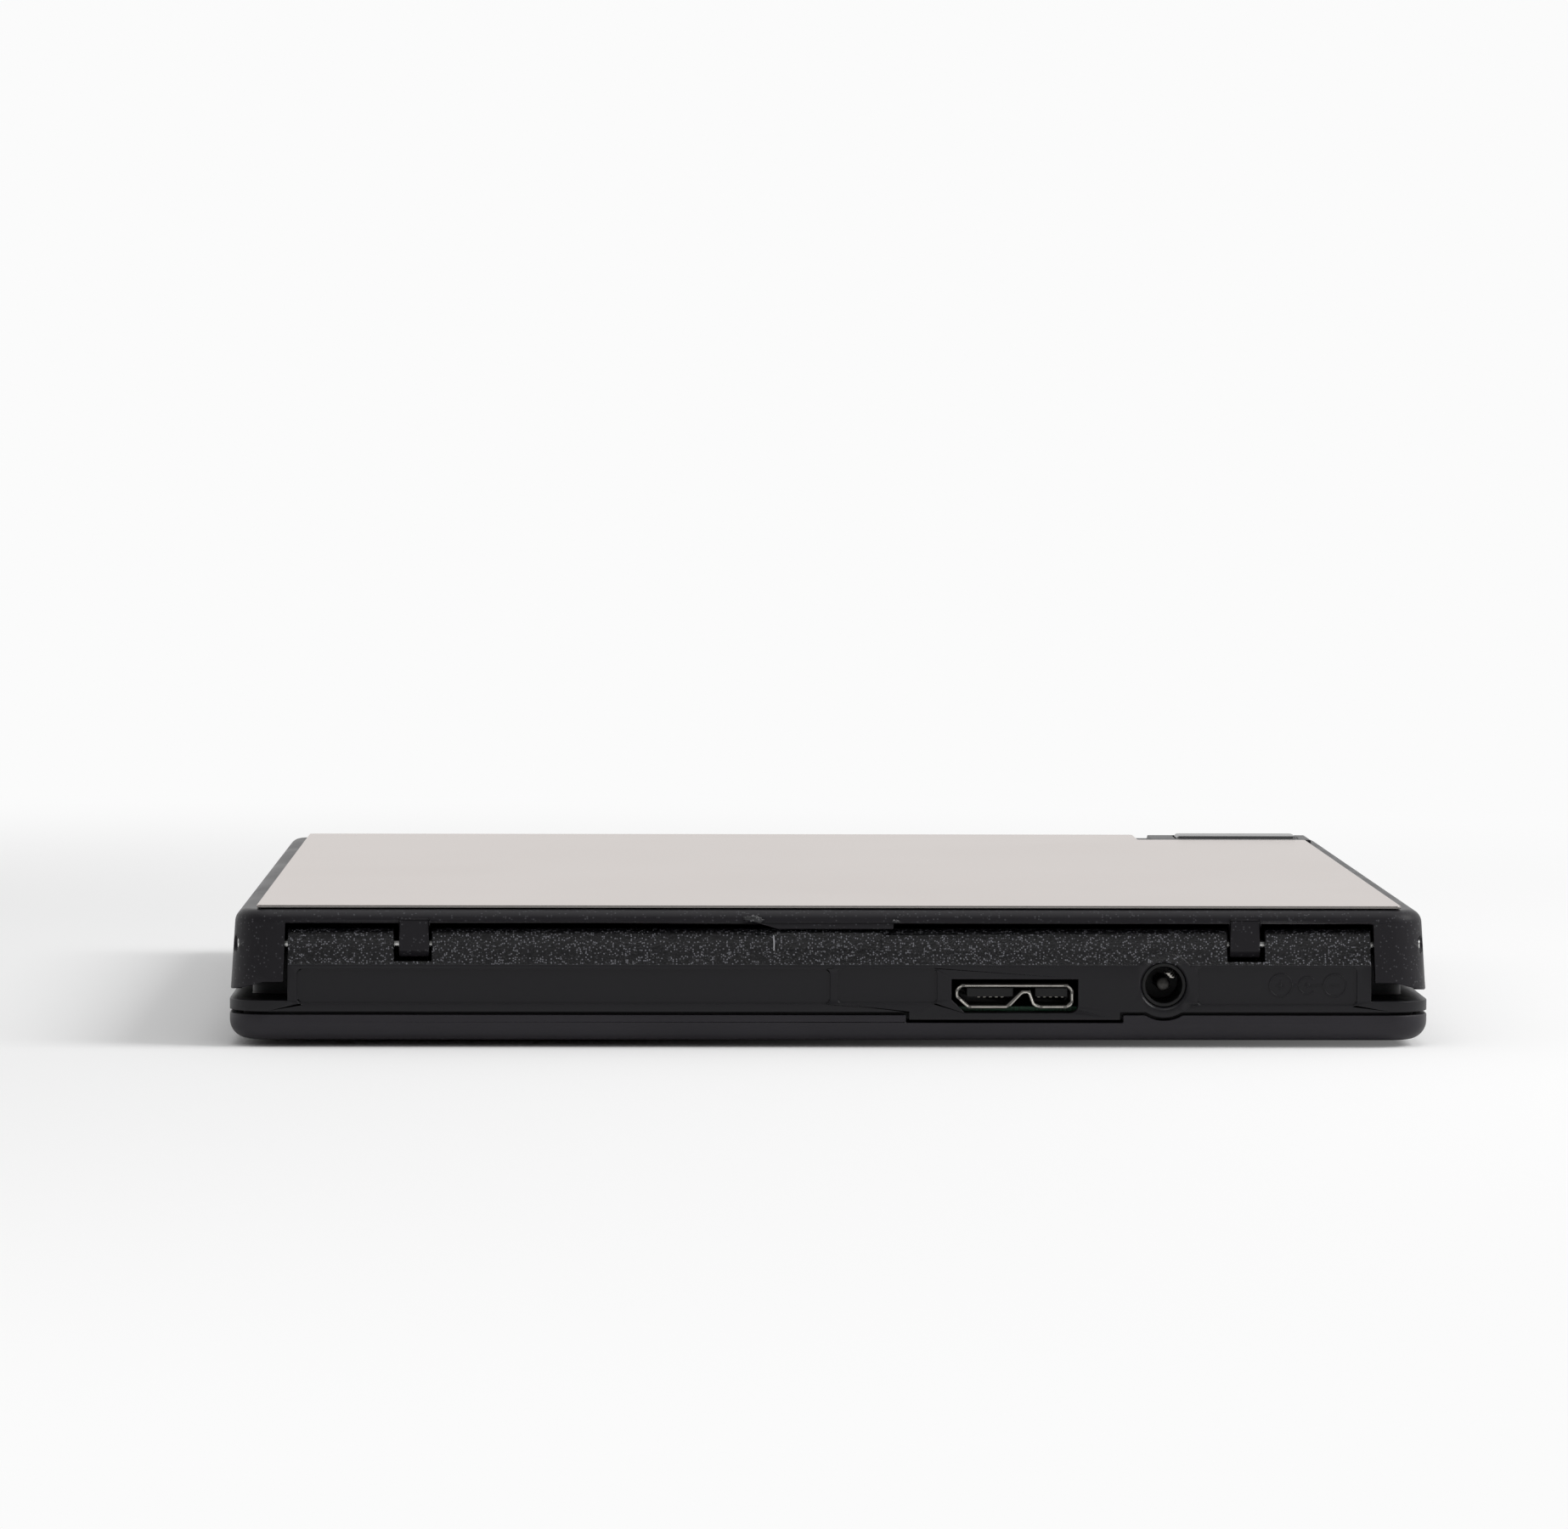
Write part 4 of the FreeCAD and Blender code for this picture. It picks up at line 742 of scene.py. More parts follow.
class Copies(GeometryTree):
    """Copies of a template on points, each turned about Z by its own random angle."""

    def __init__(self) -> None:
        """Builds the tree."""
        super().__init__("copies_on_points")
        template = self.add("GeometryNodeObjectInfo", {"Object": self.want("Template", "NodeSocketObject")})
        # Sockets 2 and 3 of a random value hold the least and the most of a number, and output 1 gives it.
        limits = {2: 0.0, 3: self.want("Most turn"), "Seed": self.want("Seed", "NodeSocketInt")}
        turn = self.add("FunctionNodeRandomValue", limits).outputs[1]
        angles = self.add("ShaderNodeCombineXYZ", {"Z": turn}).outputs[0]
        inputs = {
            "Points": self.start["Geometry"],
            "Instance": template.outputs["Geometry"],
            "Rotation": self.add("FunctionNodeEulerToRotation", {0: angles}).outputs[0],
        }
        self.close(self.add("GeometryNodeInstanceOnPoints", inputs).outputs[0])

    def lay(
        self, node: str, template: bpy.types.Mesh, boxes: Sequence[Box], finish: Finish, most_turn: float = 0
    ) -> None:
        """Puts a copy in the middle of each box and seats the whole in a node's place.

        Args:
            node: The node that the copies stand for.
            template: The mesh that is copied, about the origin.
            boxes: Lowest and highest corner of the boxes that the copies fill.
            finish: Their finish.
            most_turn: The largest random turn, in radians.
        """
        pattern = shown(f"{node}_template", template)
        points = bpy.data.meshes.new(f"{node}_spots")
        points.from_pydata([tuple((low + high) / 2) for low, high in boxes], [], [])
        values = {"Template": pattern, "Most turn": most_turn, "Seed": len(node), "Finish": finish.make()}
        piece = self.grow(f"{node}_set", points, values)
        bpy.data.objects.remove(pattern)
        settle(piece, node)


class Bars(GeometryTree):
    """Round bars that follow the wires of a mesh."""

    def __init__(self) -> None:
        """Builds the tree."""
        super().__init__("bars_along_wires")
        wires = self.add("GeometryNodeMeshToCurve", {"Mesh": self.start["Geometry"]}).outputs[0]
        self.close(self.sweep(wires, self.want("Sides", "NodeSocketInt"), self.want("Radius")))

    def bend(
        self, name: str, paths: Sequence[Sequence[Point]], radius: float, finish: Finish, sides: int = 10
    ) -> bpy.types.Object:
        """Makes bars along paths, in millimetres.

        Args:
            name: The piece's name.
            paths: Points of each path. One that ends where it starts is closed.
            radius: The bars' radius.
            finish: Their finish.
            sides: How many sides they have.

        Returns:
            The piece.
        """
        wires = bpy.data.meshes.new(name)
        points: list[Point] = []
        edges: list[tuple[int, int]] = []
        for path in paths:
            closed = path[0] == path[-1]
            first = len(points)
            points += [tuple(value * MM for value in point) for point in (path[:-1] if closed else path)]
            edges += [(number, number + 1) for number in range(first, len(points) - 1)]
            if closed:
                edges.append((len(points) - 1, first))
        wires.from_pydata(points, edges, [])
        return self.grow(name, wires, {"Sides": sides, "Radius": radius * MM, "Finish": finish.make()})


class Thread(GeometryTree):
    """A helical ridge round the Z axis, added to the rod that goes in.

    Attributes:
        RIDGE_SIDES: How many sides the ridge's section has.
    """

    RIDGE_SIDES = 6

    def __init__(self) -> None:
        """Builds the tree."""
        super().__init__("thread_on_rod")
        radius = self.want("Radius")
        inputs = {
            "Resolution": self.want("Points a turn", "NodeSocketInt"),
            "Rotations": self.want("Turns"),
            "Start Radius": radius,
            "End Radius": radius,
            "Height": self.want("Length"),
        }
        helix = self.add("GeometryNodeCurveSpiral", inputs).outputs[0]
        ridge = self.sweep(helix, self.RIDGE_SIDES, self.want("Ridge"))
        both = self.add("GeometryNodeJoinGeometry")
        for geometry in (self.start["Geometry"], ridge):
            self.tree.links.new(geometry, both.inputs[0])
        self.close(both.outputs[0])


@dataclass
class DressedSkin:
    """A solid's own skin with its small edges softened, which stands in the solid's place.

    Attributes:
        node: The solid.
        finishes: Finishes in the order of the numbers that choose gives.
        edge: Radius of the softened edges in millimetres, 0 for none.
        choose: Gives a face's finish number from its middle, in millimetres, and its normal.
        sharp: Edges that turn by more than this many degrees are softened.
        joined: Whether flat neighbours become one face first.
        flat: How many degrees flat neighbours may turn.
        SEGMENTS: How many faces go round a softened edge.
        FLAT_WEIGHT: How strongly large faces rule the normals beside them.
    """

    node: str
    finishes: Sequence[Finish]
    edge: float = 0.12
    choose: Callable[[Vector, Vector], int] | None = None
    sharp: float = 32.0
    joined: bool = True
    flat: float = 0.6

    SEGMENTS = 2
    FLAT_WEIGHT = 85

    def make(self) -> None:
        """Copies the skin, merges it, softens its edges and seats it."""
        work = bmesh.new()
        work.from_mesh(frame["nodes"][self.node].data)
        bmesh.ops.remove_doubles(work, verts=work.verts, dist=WELD)
        if self.joined:
            limit = math.radians(self.flat)
            bmesh.ops.dissolve_limit(work, angle_limit=limit, verts=work.verts, edges=work.edges)
        for face in work.faces:
            face.smooth = True
            if self.choose:
                face.material_index = self.choose(face.calc_center_median() / MM, face.normal)
        name = f"{self.node}_skin"
        piece = shown(name, mesh_of(name, work))
        for finish in self.finishes:
            piece.data.materials.append(finish.make())
        if self.edge:
            self.soften(piece)
        else:
            piece.data.set_sharp_from_angle(angle=math.radians(self.sharp))
        settle(piece, self.node)

    def soften(self, piece: bpy.types.Object) -> None:
        """Rounds the edges that turn sharply.

        Args:
            piece: The skin.
        """
        bevel = piece.modifiers.new("edges", "BEVEL")
        bevel.width = self.edge * MM
        bevel.segments = self.SEGMENTS
        bevel.limit_method = "ANGLE"
        bevel.angle_limit = math.radians(self.sharp)
        bevel.use_clamp_overlap = False
        bevel.miter_outer = "MITER_ARC"
        weighted = piece.modifiers.new("flat_faces", "WEIGHTED_NORMAL")
        weighted.weight = self.FLAT_WEIGHT
        weighted.keep_sharp = True
        baked(piece)


@dataclass
class Case:
    """Lid, deck, cover, the plate on top and the button, in millimetres.

    Attributes:
        wall: Faces further towards +Y than this, and facing that way, are the socket wall's.
        facing: How far a face of that wall faces +Y, where 1 is straight.
        barrel_front: Faces further towards +Y than this, and high enough, are the hinge barrel's.
        barrel_low: Height above which they are.
        outer_edge: Softened edges of the lid and the cover.
        fine_edge: Softened edges of the deck and the plate.
        button_edge: Softened edges of the button.
    """

    wall: float = 66.0
    facing: float = 0.5
    barrel_front: float = 61.0
    barrel_low: float = 9.2
    outer_edge: float = 0.12
    fine_edge: float = 0.08
    button_edge: float = 0.1

    def choose_deck(self, middle: Vector, normal: Vector) -> int:
        """Gives the barrel its coarse grain, the socket wall its satin, and the rest the plain plastic.

        Args:
            middle: A face's middle.
            normal: Its normal.

        Returns:
            The number of its finish.
        """
        if middle.y > self.barrel_front and middle.z > self.barrel_low:
            return 1
        if middle.y > self.wall and normal.y > self.facing:
            return 2
        return 0

    def make(self) -> None:
        """Builds the pieces of the outer case."""
        deck = [Finishes.BASE, Finishes.BARREL, Finishes.SATIN]
        DressedSkin("lid_shell", [Finishes.LID], self.outer_edge, joined=False).make()
        DressedSkin("deck", deck, self.fine_edge, self.choose_deck, joined=False).make()
        DressedSkin("bottom_cover", [Finishes.COVER], self.outer_edge).make()
        DressedSkin("top_plate", [Finishes.PLATE], self.fine_edge).make()
        DressedSkin("eject_button", [Finishes.BUTTON], self.button_edge).make()


@dataclass
class RearMarks:
    """What the mould leaves on the hinge side, a pale bar painted as a highlight at the notch's end, and the
    raised polarity sign, in millimetres.

    Attributes:
        bars: Makes the sign, the seams and the painted highlight bar.
        sign_middles: Where the sign's three rings stand, across the case.
        sign_height: Height of their middles.
        sign_face: Face of the recess that they stand on.
        ring: Radius of the outer rings.
        inner_ring: Radius of the middle ring, which is open at one side.
        inner_reach: How far that ring goes each way from the side of the plus, in degrees.
        dot: Radius of the dot's line.
        dot_sides: How many sides the dot has.
        half_stroke: Half the length of the plus's and the minus's strokes.
        line: Radius of the raised lines.
        seam_across: How far from the middle the barrel's two seams are.
        seam_face: How far back they lie.
        seam_ends: Heights of their ends.
        seam_line: Radius of a seam.
        notch_highlight: Points of a pale bar at the notch's end, a painted highlight of the notch's lit side
            wall.
        notch_highlight_line: That bar's radius.
        fine_sides: How many sides the seams and that bar have.
        stub_lumps: Place across, height and size of the lumps of the torn gate.
        stub_face: How far back they sit.
        stub_shape: How much longer than a ball they are along each axis.
        torn: Share by which their surface waves.
        waves: How often it waves across and upward.
        stub_rounds: How often a lump's faces are divided.
    """

    bars: Bars
    sign_middles: tuple[float, float, float] = (-49.9, -52.85, -55.9)
    sign_height: float = 6.95
    sign_face: float = 66.24
    ring: float = 1.25
    inner_ring: float = 0.95
    inner_reach: float = 140.0
    dot: float = 0.18
    dot_sides: int = 8
    half_stroke: float = 0.5
    line: float = 0.1
    seam_across: float = 53.0
    seam_face: float = 65.68
    seam_ends: Pair = (10.75, 12.0)
    seam_line: float = 0.045
    # A pale bar that paints the highlight on the notch's lit side wall.
    notch_highlight: Sequence[Point] = ((6.2, 65.72, 10.7), (6.18, 65.72, 11.5), (6.24, 65.6, 12.4))
    notch_highlight_line: float = 0.09
    fine_sides: int = 6
    stub_lumps: Sequence[Point] = (
        (9.1, 14.3, 0.34), (8.45, 14.25, 0.5), (7.85, 14.05, 0.36), (-7.3, 13.95, 0.26),
    )
    stub_face: float = 65.98
    stub_shape: Point = (1.5, 0.45, 0.75)
    torn: float = 0.28
    waves: Pair = (9, 5)
    stub_rounds: int = 3

    def arc(self, across: float, radius: float, reach: float = 180.0, steps: int = 32) -> list[Point]:
        """Draws an arc on the recess's face.

        Args:
            across: Where its middle is.
            radius: Its radius.
            reach: How far it goes each way from +X, in degrees. 180 closes it.
            steps: How many runs it has.

        Returns:
            Its points.
        """
        closed = reach == 180
        start = 0.0 if closed else -reach
        angles = [math.radians(start + 2 * reach * step / steps) for step in range(steps + 1)]
        points = [
            (across + radius * math.cos(a), self.sign_face, self.sign_height + radius * math.sin(a))
            for a in angles
        ]
        if closed:
            points[-1] = points[0]
        return points

    def stroke(self, middle: float, across: Pair = (0.0, 0.0), upward: Pair = (0.0, 0.0)) -> list[Point]:
        """Draws a line on the recess's face, from how far its two ends lie off a ring's middle."""
        ends = zip(across, upward)
        return [(middle + aside, self.sign_face, self.sign_height + rise) for aside, rise in ends]

    def make_sign(self) -> None:
        """Raises the two outer rings with plus and minus, the open middle ring, its dot and the links."""
        plus, middle, minus = self.sign_middles
        stroke = (-self.half_stroke, self.half_stroke)
        paths = [
            self.arc(plus, self.ring),
            self.arc(minus, self.ring),
            self.arc(middle, self.inner_ring, self.inner_reach),
            self.arc(middle, self.dot, steps=self.dot_sides),
            self.stroke(plus, stroke),
            self.stroke(plus, upward=stroke),
            self.stroke(minus, stroke),
            self.stroke(middle, (0.0, minus + self.ring - middle)),
            self.stroke(middle, (self.inner_ring, plus - self.ring - middle)),
        ]
        settle(self.bars.bend("polarity_sign", paths, self.line, Finishes.SATIN), "deck", replaced=False)

    def make_seams(self) -> None:
        """Leaves fine parting seams down the hinge barrel, and at the notch's end a pale bar that is a
        painted highlight.
        """
        seams = [
            [(across, self.seam_face, height) for height in self.seam_ends]
            for across in (-self.seam_across, self.seam_across)
        ]
        marks = (
            ("barrel_seams", seams, self.seam_line, Finishes.BARREL),
            ("notch_burr", [self.notch_highlight], self.notch_highlight_line, Finishes.NOTCH_HIGHLIGHT),
        )
        for name, paths, radius, finish in marks:
            settle(self.bars.bend(name, paths, radius, finish, self.fine_sides), "deck", replaced=False)

    def make_gate(self) -> None:
        """Leaves the torn stub of the mould's gate on the lid's rear lip."""
        work = bmesh.new()
        wide, deep, tall = self.stub_shape
        for across, height, size in self.stub_lumps:
            radius = size * MM
            ball = bmesh.ops.create_icosphere(work, subdivisions=self.stub_rounds, radius=radius)
            for corner in ball["verts"]:
                phase = self.waves[0] * corner.co.x / radius + self.waves[1] * corner.co.z / radius
                rough = 1 + self.torn * math.sin(phase + across)
                x, y, z = corner.co
                corner.co = Vector((x * wide * rough, y * deep, z * tall * rough))
                corner.co += Vector((across, self.stub_face, height)) * MM
        for face in work.faces:
            face.smooth = True
        gate = shown("gate_stub", mesh_of("gate_stub", work))
        gate.data.materials.append(Finishes.STUB.make())
        settle(gate, "lid_shell", replaced=False)

    def make(self) -> None:
        """Builds all marks."""
        self.make_sign()
        self.make_seams()
        self.make_gate()


@dataclass
class UsbSocket:
    """The data socket's front: rolled lips of the bent shell and the contacts, in millimetres.

    Attributes:
        bars: Makes the lips.
        copies: Lays the contacts.
        face: Front face of the shell.
        lip: Radius of the rolled lip.
        lips: Place across and height of each lip's points. The lips part where the shell's sheet is split.
        nose: Radius of a contact's nose, as a share of its least side.
        nose_steps: How many faces go round that nose.
    """

    bars: Bars
    copies: Copies
    face: float = 65.98
    lip: float = 0.115
    lips: Sequence[Profile] = (
        ((14.95, 6.87), (25.9, 6.87)),
        ((26.3, 6.83), (26.66, 6.6), (26.8, 6.28)),
        ((26.82, 5.95), (26.82, 5.2)),
        ((26.78, 4.9), (26.6, 4.66), (26.25, 4.5)),
        ((25.85, 4.47), (23.55, 4.47)),
        (
            (23.2, 4.5), (22.78, 4.6), (22.5, 4.85), (22.12, 5.92),
            (21.85, 6.13), (21.4, 6.11), (21.1, 5.9), (19.9, 4.62),
        ),
        ((19.55, 4.47), (15.65, 4.47)),
        ((15.3, 4.52), (14.95, 4.78), (14.35, 5.32)),
        ((14.1, 5.55), (14.02, 5.8), (14.02, 6.2)),
        ((14.1, 6.5), (14.25, 6.7), (14.6, 6.85)),
    )
    nose: float = 0.4
    nose_steps: int = 3

    def make(self) -> None:
        """Builds the lips and the contacts."""
        paths = [[(-across, self.face, height) for across, height in lip] for lip in self.lips]
        settle(self.bars.bend("socket_lips", paths, self.lip, Finishes.SOCKET), "usb_shell", replaced=False)
        boxes = [box_of(corners) for corners in solids("usb_contacts")]
        low, high = boxes[0]
        self.copies.lay("usb_contacts", self.blade(high - low), boxes, Finishes.CONTACT)

    def blade(self, size: Vector) -> bpy.types.Mesh:
        """Makes one contact: a thin bar with a round nose.

        Args:
            size: Its box.

        Returns:
            Its mesh about the origin.
        """
        work = bmesh.new()
        bmesh.ops.create_cube(work, size=1.0)
        bmesh.ops.scale(work, vec=size, verts=work.verts)
        front = [edge for edge in work.edges if min(corner.co.y for corner in edge.verts) > 0]
        round_nose = {"offset": self.nose * min(size), "segments": self.nose_steps, "profile": 0.5}
        bmesh.ops.bevel(work, geom=front, affect="EDGES", **round_nose)
        return mesh_of("contact_blade", work)


@dataclass
class PowerSocket:
    """The round power socket's pin and its side spring, in millimetres.

    Attributes:
        bars: Bends the spring.
        across: Where the socket's axis is.
        height: Height of that axis.
        shoulder: How far from the pin's end its round tip starts.
        tip: The tip's corners: share of the pin's radius, and distance from its end.
        wire: Half the spring's thickness.
        wires: How far aside each of the wires lies that make up the spring's width.
        route: The spring's points: how far out from the socket's floor, off its axis, and aside.
    """

    bars: Bars
    across: float = -36.97
    height: float = 6.95
    shoulder: float = 0.5
    tip: Profile = ((0.9, 0.22), (0.62, 0.05))
    wire: float = 0.13
    wires: Sequence[float] = (-0.3, 0.0, 0.3)
    route: Sequence[Point] = (
        (0.0, 1.72, 0), (3.6, 1.72, 0), (4.9, 1.8, 0), (5.5, 1.62, 0), (5.75, 1.3, 0.05), (5.6, 1.08, 0.3),
        (5.3, 1.05, 0.55),
    )

    def make(self) -> None:
        """Builds the pin and the spring."""
        low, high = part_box("dc_jack_pin")
        radius, length = (high.x - low.x) / 2, high.y - low.y
        profile = [(0.0, 0.0), (radius, 0.0), (radius, length - self.shoulder * MM)]
        profile += [(share * radius, length - back * MM) for share, back in self.tip]
        mesh = lathe("jack_pin", [*profile, (0.0, length)])
        along_y = Matrix.Rotation(math.radians(-90), 4, "X")
        mesh.transform(Matrix.Translation((self.across * MM, low.y, self.height * MM)) @ along_y)
        # The pin's dark metal is painted shade inside the socket.
        mesh.materials.append(Finishes.DARKENED_PIN.make())
        settle(shown("jack_pin", mesh), "dc_jack_pin")
        self.make_spring()

    def make_spring(self) -> None:
        """Bends the spring from the socket's floor out to its curled end."""
        low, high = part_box("dc_jack_spring")
        out = Vector(((low.x + high.x) / 2 - self.across * MM, 0, (low.z + high.z) / 2 - self.height * MM))
        out.normalize()
        side = Vector((0, 1, 0)).cross(out)
        floor = low.y / MM
        paths = []
        for shift in self.wires:
            path = []
            for along, reach, aside in self.route:
                spot = Vector((self.across, floor + along, self.height)) + out * reach
                path.append(tuple(spot + side * (aside + shift)))
            paths.append(path)
        settle(self.bars.bend("jack_spring", paths, self.wire, Finishes.SOCKET), "dc_jack_spring")


@dataclass
class Fasteners:
    """Every set of screws, each with a cross recess in its head. Its sizes are shares.

    Attributes:
        copies: Puts them in their places.
        nodes: The sets.
        head_from: Corners further out than this share of the widest belong to the head.
        shank_to: Corners nearer than this share of it belong to the shank.
        point: Radius of the shank's flat end and length of its slope, in shank radii.
        crown: Height of the head's round shoulder, in head thicknesses.
        shoulder: Radius of the shoulder's middle in head radii, and its depth in crowns.
        top: Radius of the head's flat top, in head radii.
        bar: Length and width of the recess's bars in head radii, and their depth in head thicknesses.
        taper: How far the bars narrow towards their foot, along and across.
        sides: How many sides a screw has.
    """

    copies: Copies
    nodes: Sequence[str] = ("case_screws", "board_screws", "damper_screws")
    head_from: float = 0.9
    shank_to: float = 0.8
    point: Pair = (0.7, 0.4)
    crown: float = 0.3
    shoulder: Pair = (0.93, 0.3)
    top: float = 0.75
    bar: Point = (1.15, 0.3, 1.1)
    taper: Pair = (0.45, 0.6)
    sides: int = 32

    def make(self) -> None:
        """Builds each set from the sizes of its own solids."""
        for node in self.nodes:
            found = solids(node)
            boxes = [box_of(corners) for corners in found]
            self.copies.lay(node, self.screw(found[0]), boxes, Finishes.BLACK_SCREW, math.tau)

    def screw(self, corners: Sequence[Vector]) -> bpy.types.Mesh:
        """Makes one screw about the middle of its box.

        Args:
            corners: Corners of the solid that it stands for.

        Returns:
            Its mesh.
        """
        low, high = box_of(corners)
        middle = (low + high) / 2
        radius, half = (high.x - low.x) / 2, (high.z - low.z) / 2
        reach = [(math.hypot(corner.x - middle.x, corner.y - middle.y), corner.z) for corner in corners]
        heads = [height for far, height in reach if far > self.head_from * radius]
        shank = max(far for far, height in reach if far < self.shank_to * radius)
        thick = max(heads) - min(heads)
        crown = self.crown * thick
        profile = [
            (0.0, -half),
            (self.point[0] * shank, -half),
            (shank, -half + self.point[1] * shank),
            (shank, half - thick),
            (radius, half - thick),
            (radius, half - crown),
            (self.shoulder[0] * radius, half - self.shoulder[1] * crown),
            (self.top * radius, half),
            (0.0, half),
        ]
        piece = shown("screw_blank", lathe("screw_blank", profile, self.sides))
        bars = [self.slot_bar(radius, half, thick, turned) for turned in (False, True)]
        for bar in bars:
            cut = piece.modifiers.new("recess", "BOOLEAN")
            cut.operation = "DIFFERENCE"
            cut.solver = "EXACT"
            cut.object = bar
        mesh = baked(piece).data
        for blank in (piece, *bars):
            bpy.data.objects.remove(blank)
        head_below = sum(heads) / len(heads) <= middle.z
        if head_below:
            mesh.transform(Matrix.Rotation(math.pi, 4, "X"))
        mesh.set_sharp_from_angle(angle=TURNED_SHARP)
        return mesh

    def slot_bar(self, radius: float, half: float, thick: float, turned: bool) -> bpy.types.Object:
        """Makes one bar of the cross that is cut into a head.

        Args:
            radius: The head's radius.
            half: Half the screw's length.
            thick: The head's thickness.
            turned: Whether it lies across the other bar.

        Returns:
            The bar.
        """
        work = bmesh.new()
        bmesh.ops.create_cube(work, size=1.0)
        length, width, depth = self.bar
        bmesh.ops.scale(work, vec=(length * radius, width * radius, depth * thick), verts=work.verts)
        for corner in work.verts:
            if corner.co.z < 0:
                corner.co.x *= self.taper[0]
                corner.co.y *= self.taper[1]
        bmesh.ops.translate(work, vec=(0, 0, half), verts=work.verts)
        bar = shown("recess_bar", mesh_of("recess_bar", work))
        if turned:
            bar.data.transform(Matrix.Rotation(math.pi / 2, 4, "Z"))
        return bar


@dataclass
class LeadScrew:
    """The screw that drives the pickup, with its real thread, in millimetres.

    Attributes:
        thread: Makes the thread.
        turn: How far the pickup's path is turned from +X, in degrees.
        spindle_along: Where the spindle stands, along Y.
        ridge: Radius of the thread's ridge.
        root: Radius of the rod between the ridges.
        wide_from: Corners further out than this share of the thread's radius are the thread's.
        journal: Radius of the bare ends, as a share of the thread's radius.
        sides: How many sides the rod has.
        points_a_turn: How many points the thread has in one turn.
    """

    thread: Thread
    turn: float = -45.0
    spindle_along: float = -1.5
    ridge: float = 0.26
    root: float = 0.84
    wide_from: float = 0.9
    journal: float = 0.74
    sides: int = 32
    points_a_turn: int = 28

    def pitch(self) -> float:
        """Works out how far the sled moves for one turn, from the coupling of the two joints.

        Returns:
            The thread's pitch.
        """
        couplings = frame["record"]["behaviour"]["couplings"]
        ratio = next(link["ratio"] for link in couplings if link["joint"] == "screw_turn")
        return math.tau / abs(ratio)

    def make(self) -> None:
        """Builds the threaded rod along the axis of its solid."""
        turned = Matrix.Rotation(math.radians(self.turn), 4, "Z")
        place = Matrix.Translation((0, self.spindle_along * MM, 0)) @ turned
        corners = [place.inverted() @ corner for corner in solids("lead_screw")[0]]
        low, high = box_of(corners)
        middle = (low + high) / 2
        radius = (high.y - low.y) / 2
        limit = self.wide_from * radius
        wide = [corner.x for corner in corners if abs(corner.y - middle.y) > limit]
        start, end = min(wide), max(wide)
        thin, root = self.journal * radius, self.root * MM
        profile = [(0.0, low.x), (thin, low.x), (thin, start), (root, start), (root, end)]
        profile += [(thin, end), (thin, high.x), (0.0, high.x)]
        rod = lathe("thread_rod", [(out, along - start) for out, along in profile], self.sides)
        values = {
            "Radius": radius - self.ridge * MM,
            "Points a turn": self.points_a_turn,
            "Turns": (end - start) / self.pitch(),
            "Length": end - start,
            "Ridge": self.ridge * MM,
            "Finish": Finishes.STEEL.make(),
        }
        piece = self.thread.grow("lead_screw_thread", rod, values)
        along_x = Matrix.Translation((start, middle.y, middle.z)) @ Matrix.Rotation(math.pi / 2, 4, "Y")
        piece.data.transform(place @ along_x)
        settle(piece, "lead_screw")


@dataclass
class Feet:
    """The four rubber feet with round shoulders.

    Attributes:
        copies: Puts them in their places.
        shoulder: How far in from the rim the shoulder goes, in millimetres.
        steps: How many runs the shoulder has.
        sides: How many sides a foot has.
    """

    copies: Copies
    shoulder: float = 0.9
    steps: int = 8
    sides: int = 64

    def make(self) -> None:
        """Turns one foot and lays it four times."""
        boxes = [box_of(corners) for corners in solids("rubber_feet")]
        low, high = boxes[0]
        radius, half = (high.x - low.x) / 2, (high.z - low.z) / 2
        arc = [
            (radius - self.shoulder * MM * (1 - math.sin(a)), half - 2 * half * math.cos(a))
            for a in quarter(self.steps)
        ]
        foot = lathe("foot", [(0.0, -half), *arc, (0.0, half)], self.sides)
        self.copies.lay("rubber_feet", foot, boxes, Finishes.RUBBER)


@dataclass
class Lens:
    """The objective lens with its dome.

    Attributes:
        rim: Thickness of its rim, in millimetres.
        dome: Radius of the dome, as a share of the lens's.
        steps: How many runs the dome has.
        sides: How many sides the lens has.
    """

    rim: float = 0.12
    dome: float = 0.8
    steps: int = 10
    sides: int = 56

    def make(self) -> None:
        """Domes the lens between its rim and its top."""
        low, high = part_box("objective_lens")
        radius, rim = (high.x - low.x) / 2, self.rim * MM
        inner, rise = self.dome * radius, high.z - low.z - rim
        dome = [(inner * math.cos(a), rim + rise * math.sin(a)) for a in quarter(self.steps)[:-1]]
        profile = [(0.0, 0.0), (radius, 0.0), (radius, rim), *dome, (0.0, rim + rise)]
        lens = lathe("lens_dome", profile, self.sides)
        lens.transform(Matrix.Translation(((low.x + high.x) / 2, (low.y + high.y) / 2, low.z)))
        lens.materials.append(Finishes.GLASS.make())
        settle(shown("lens_dome", lens), "objective_lens")


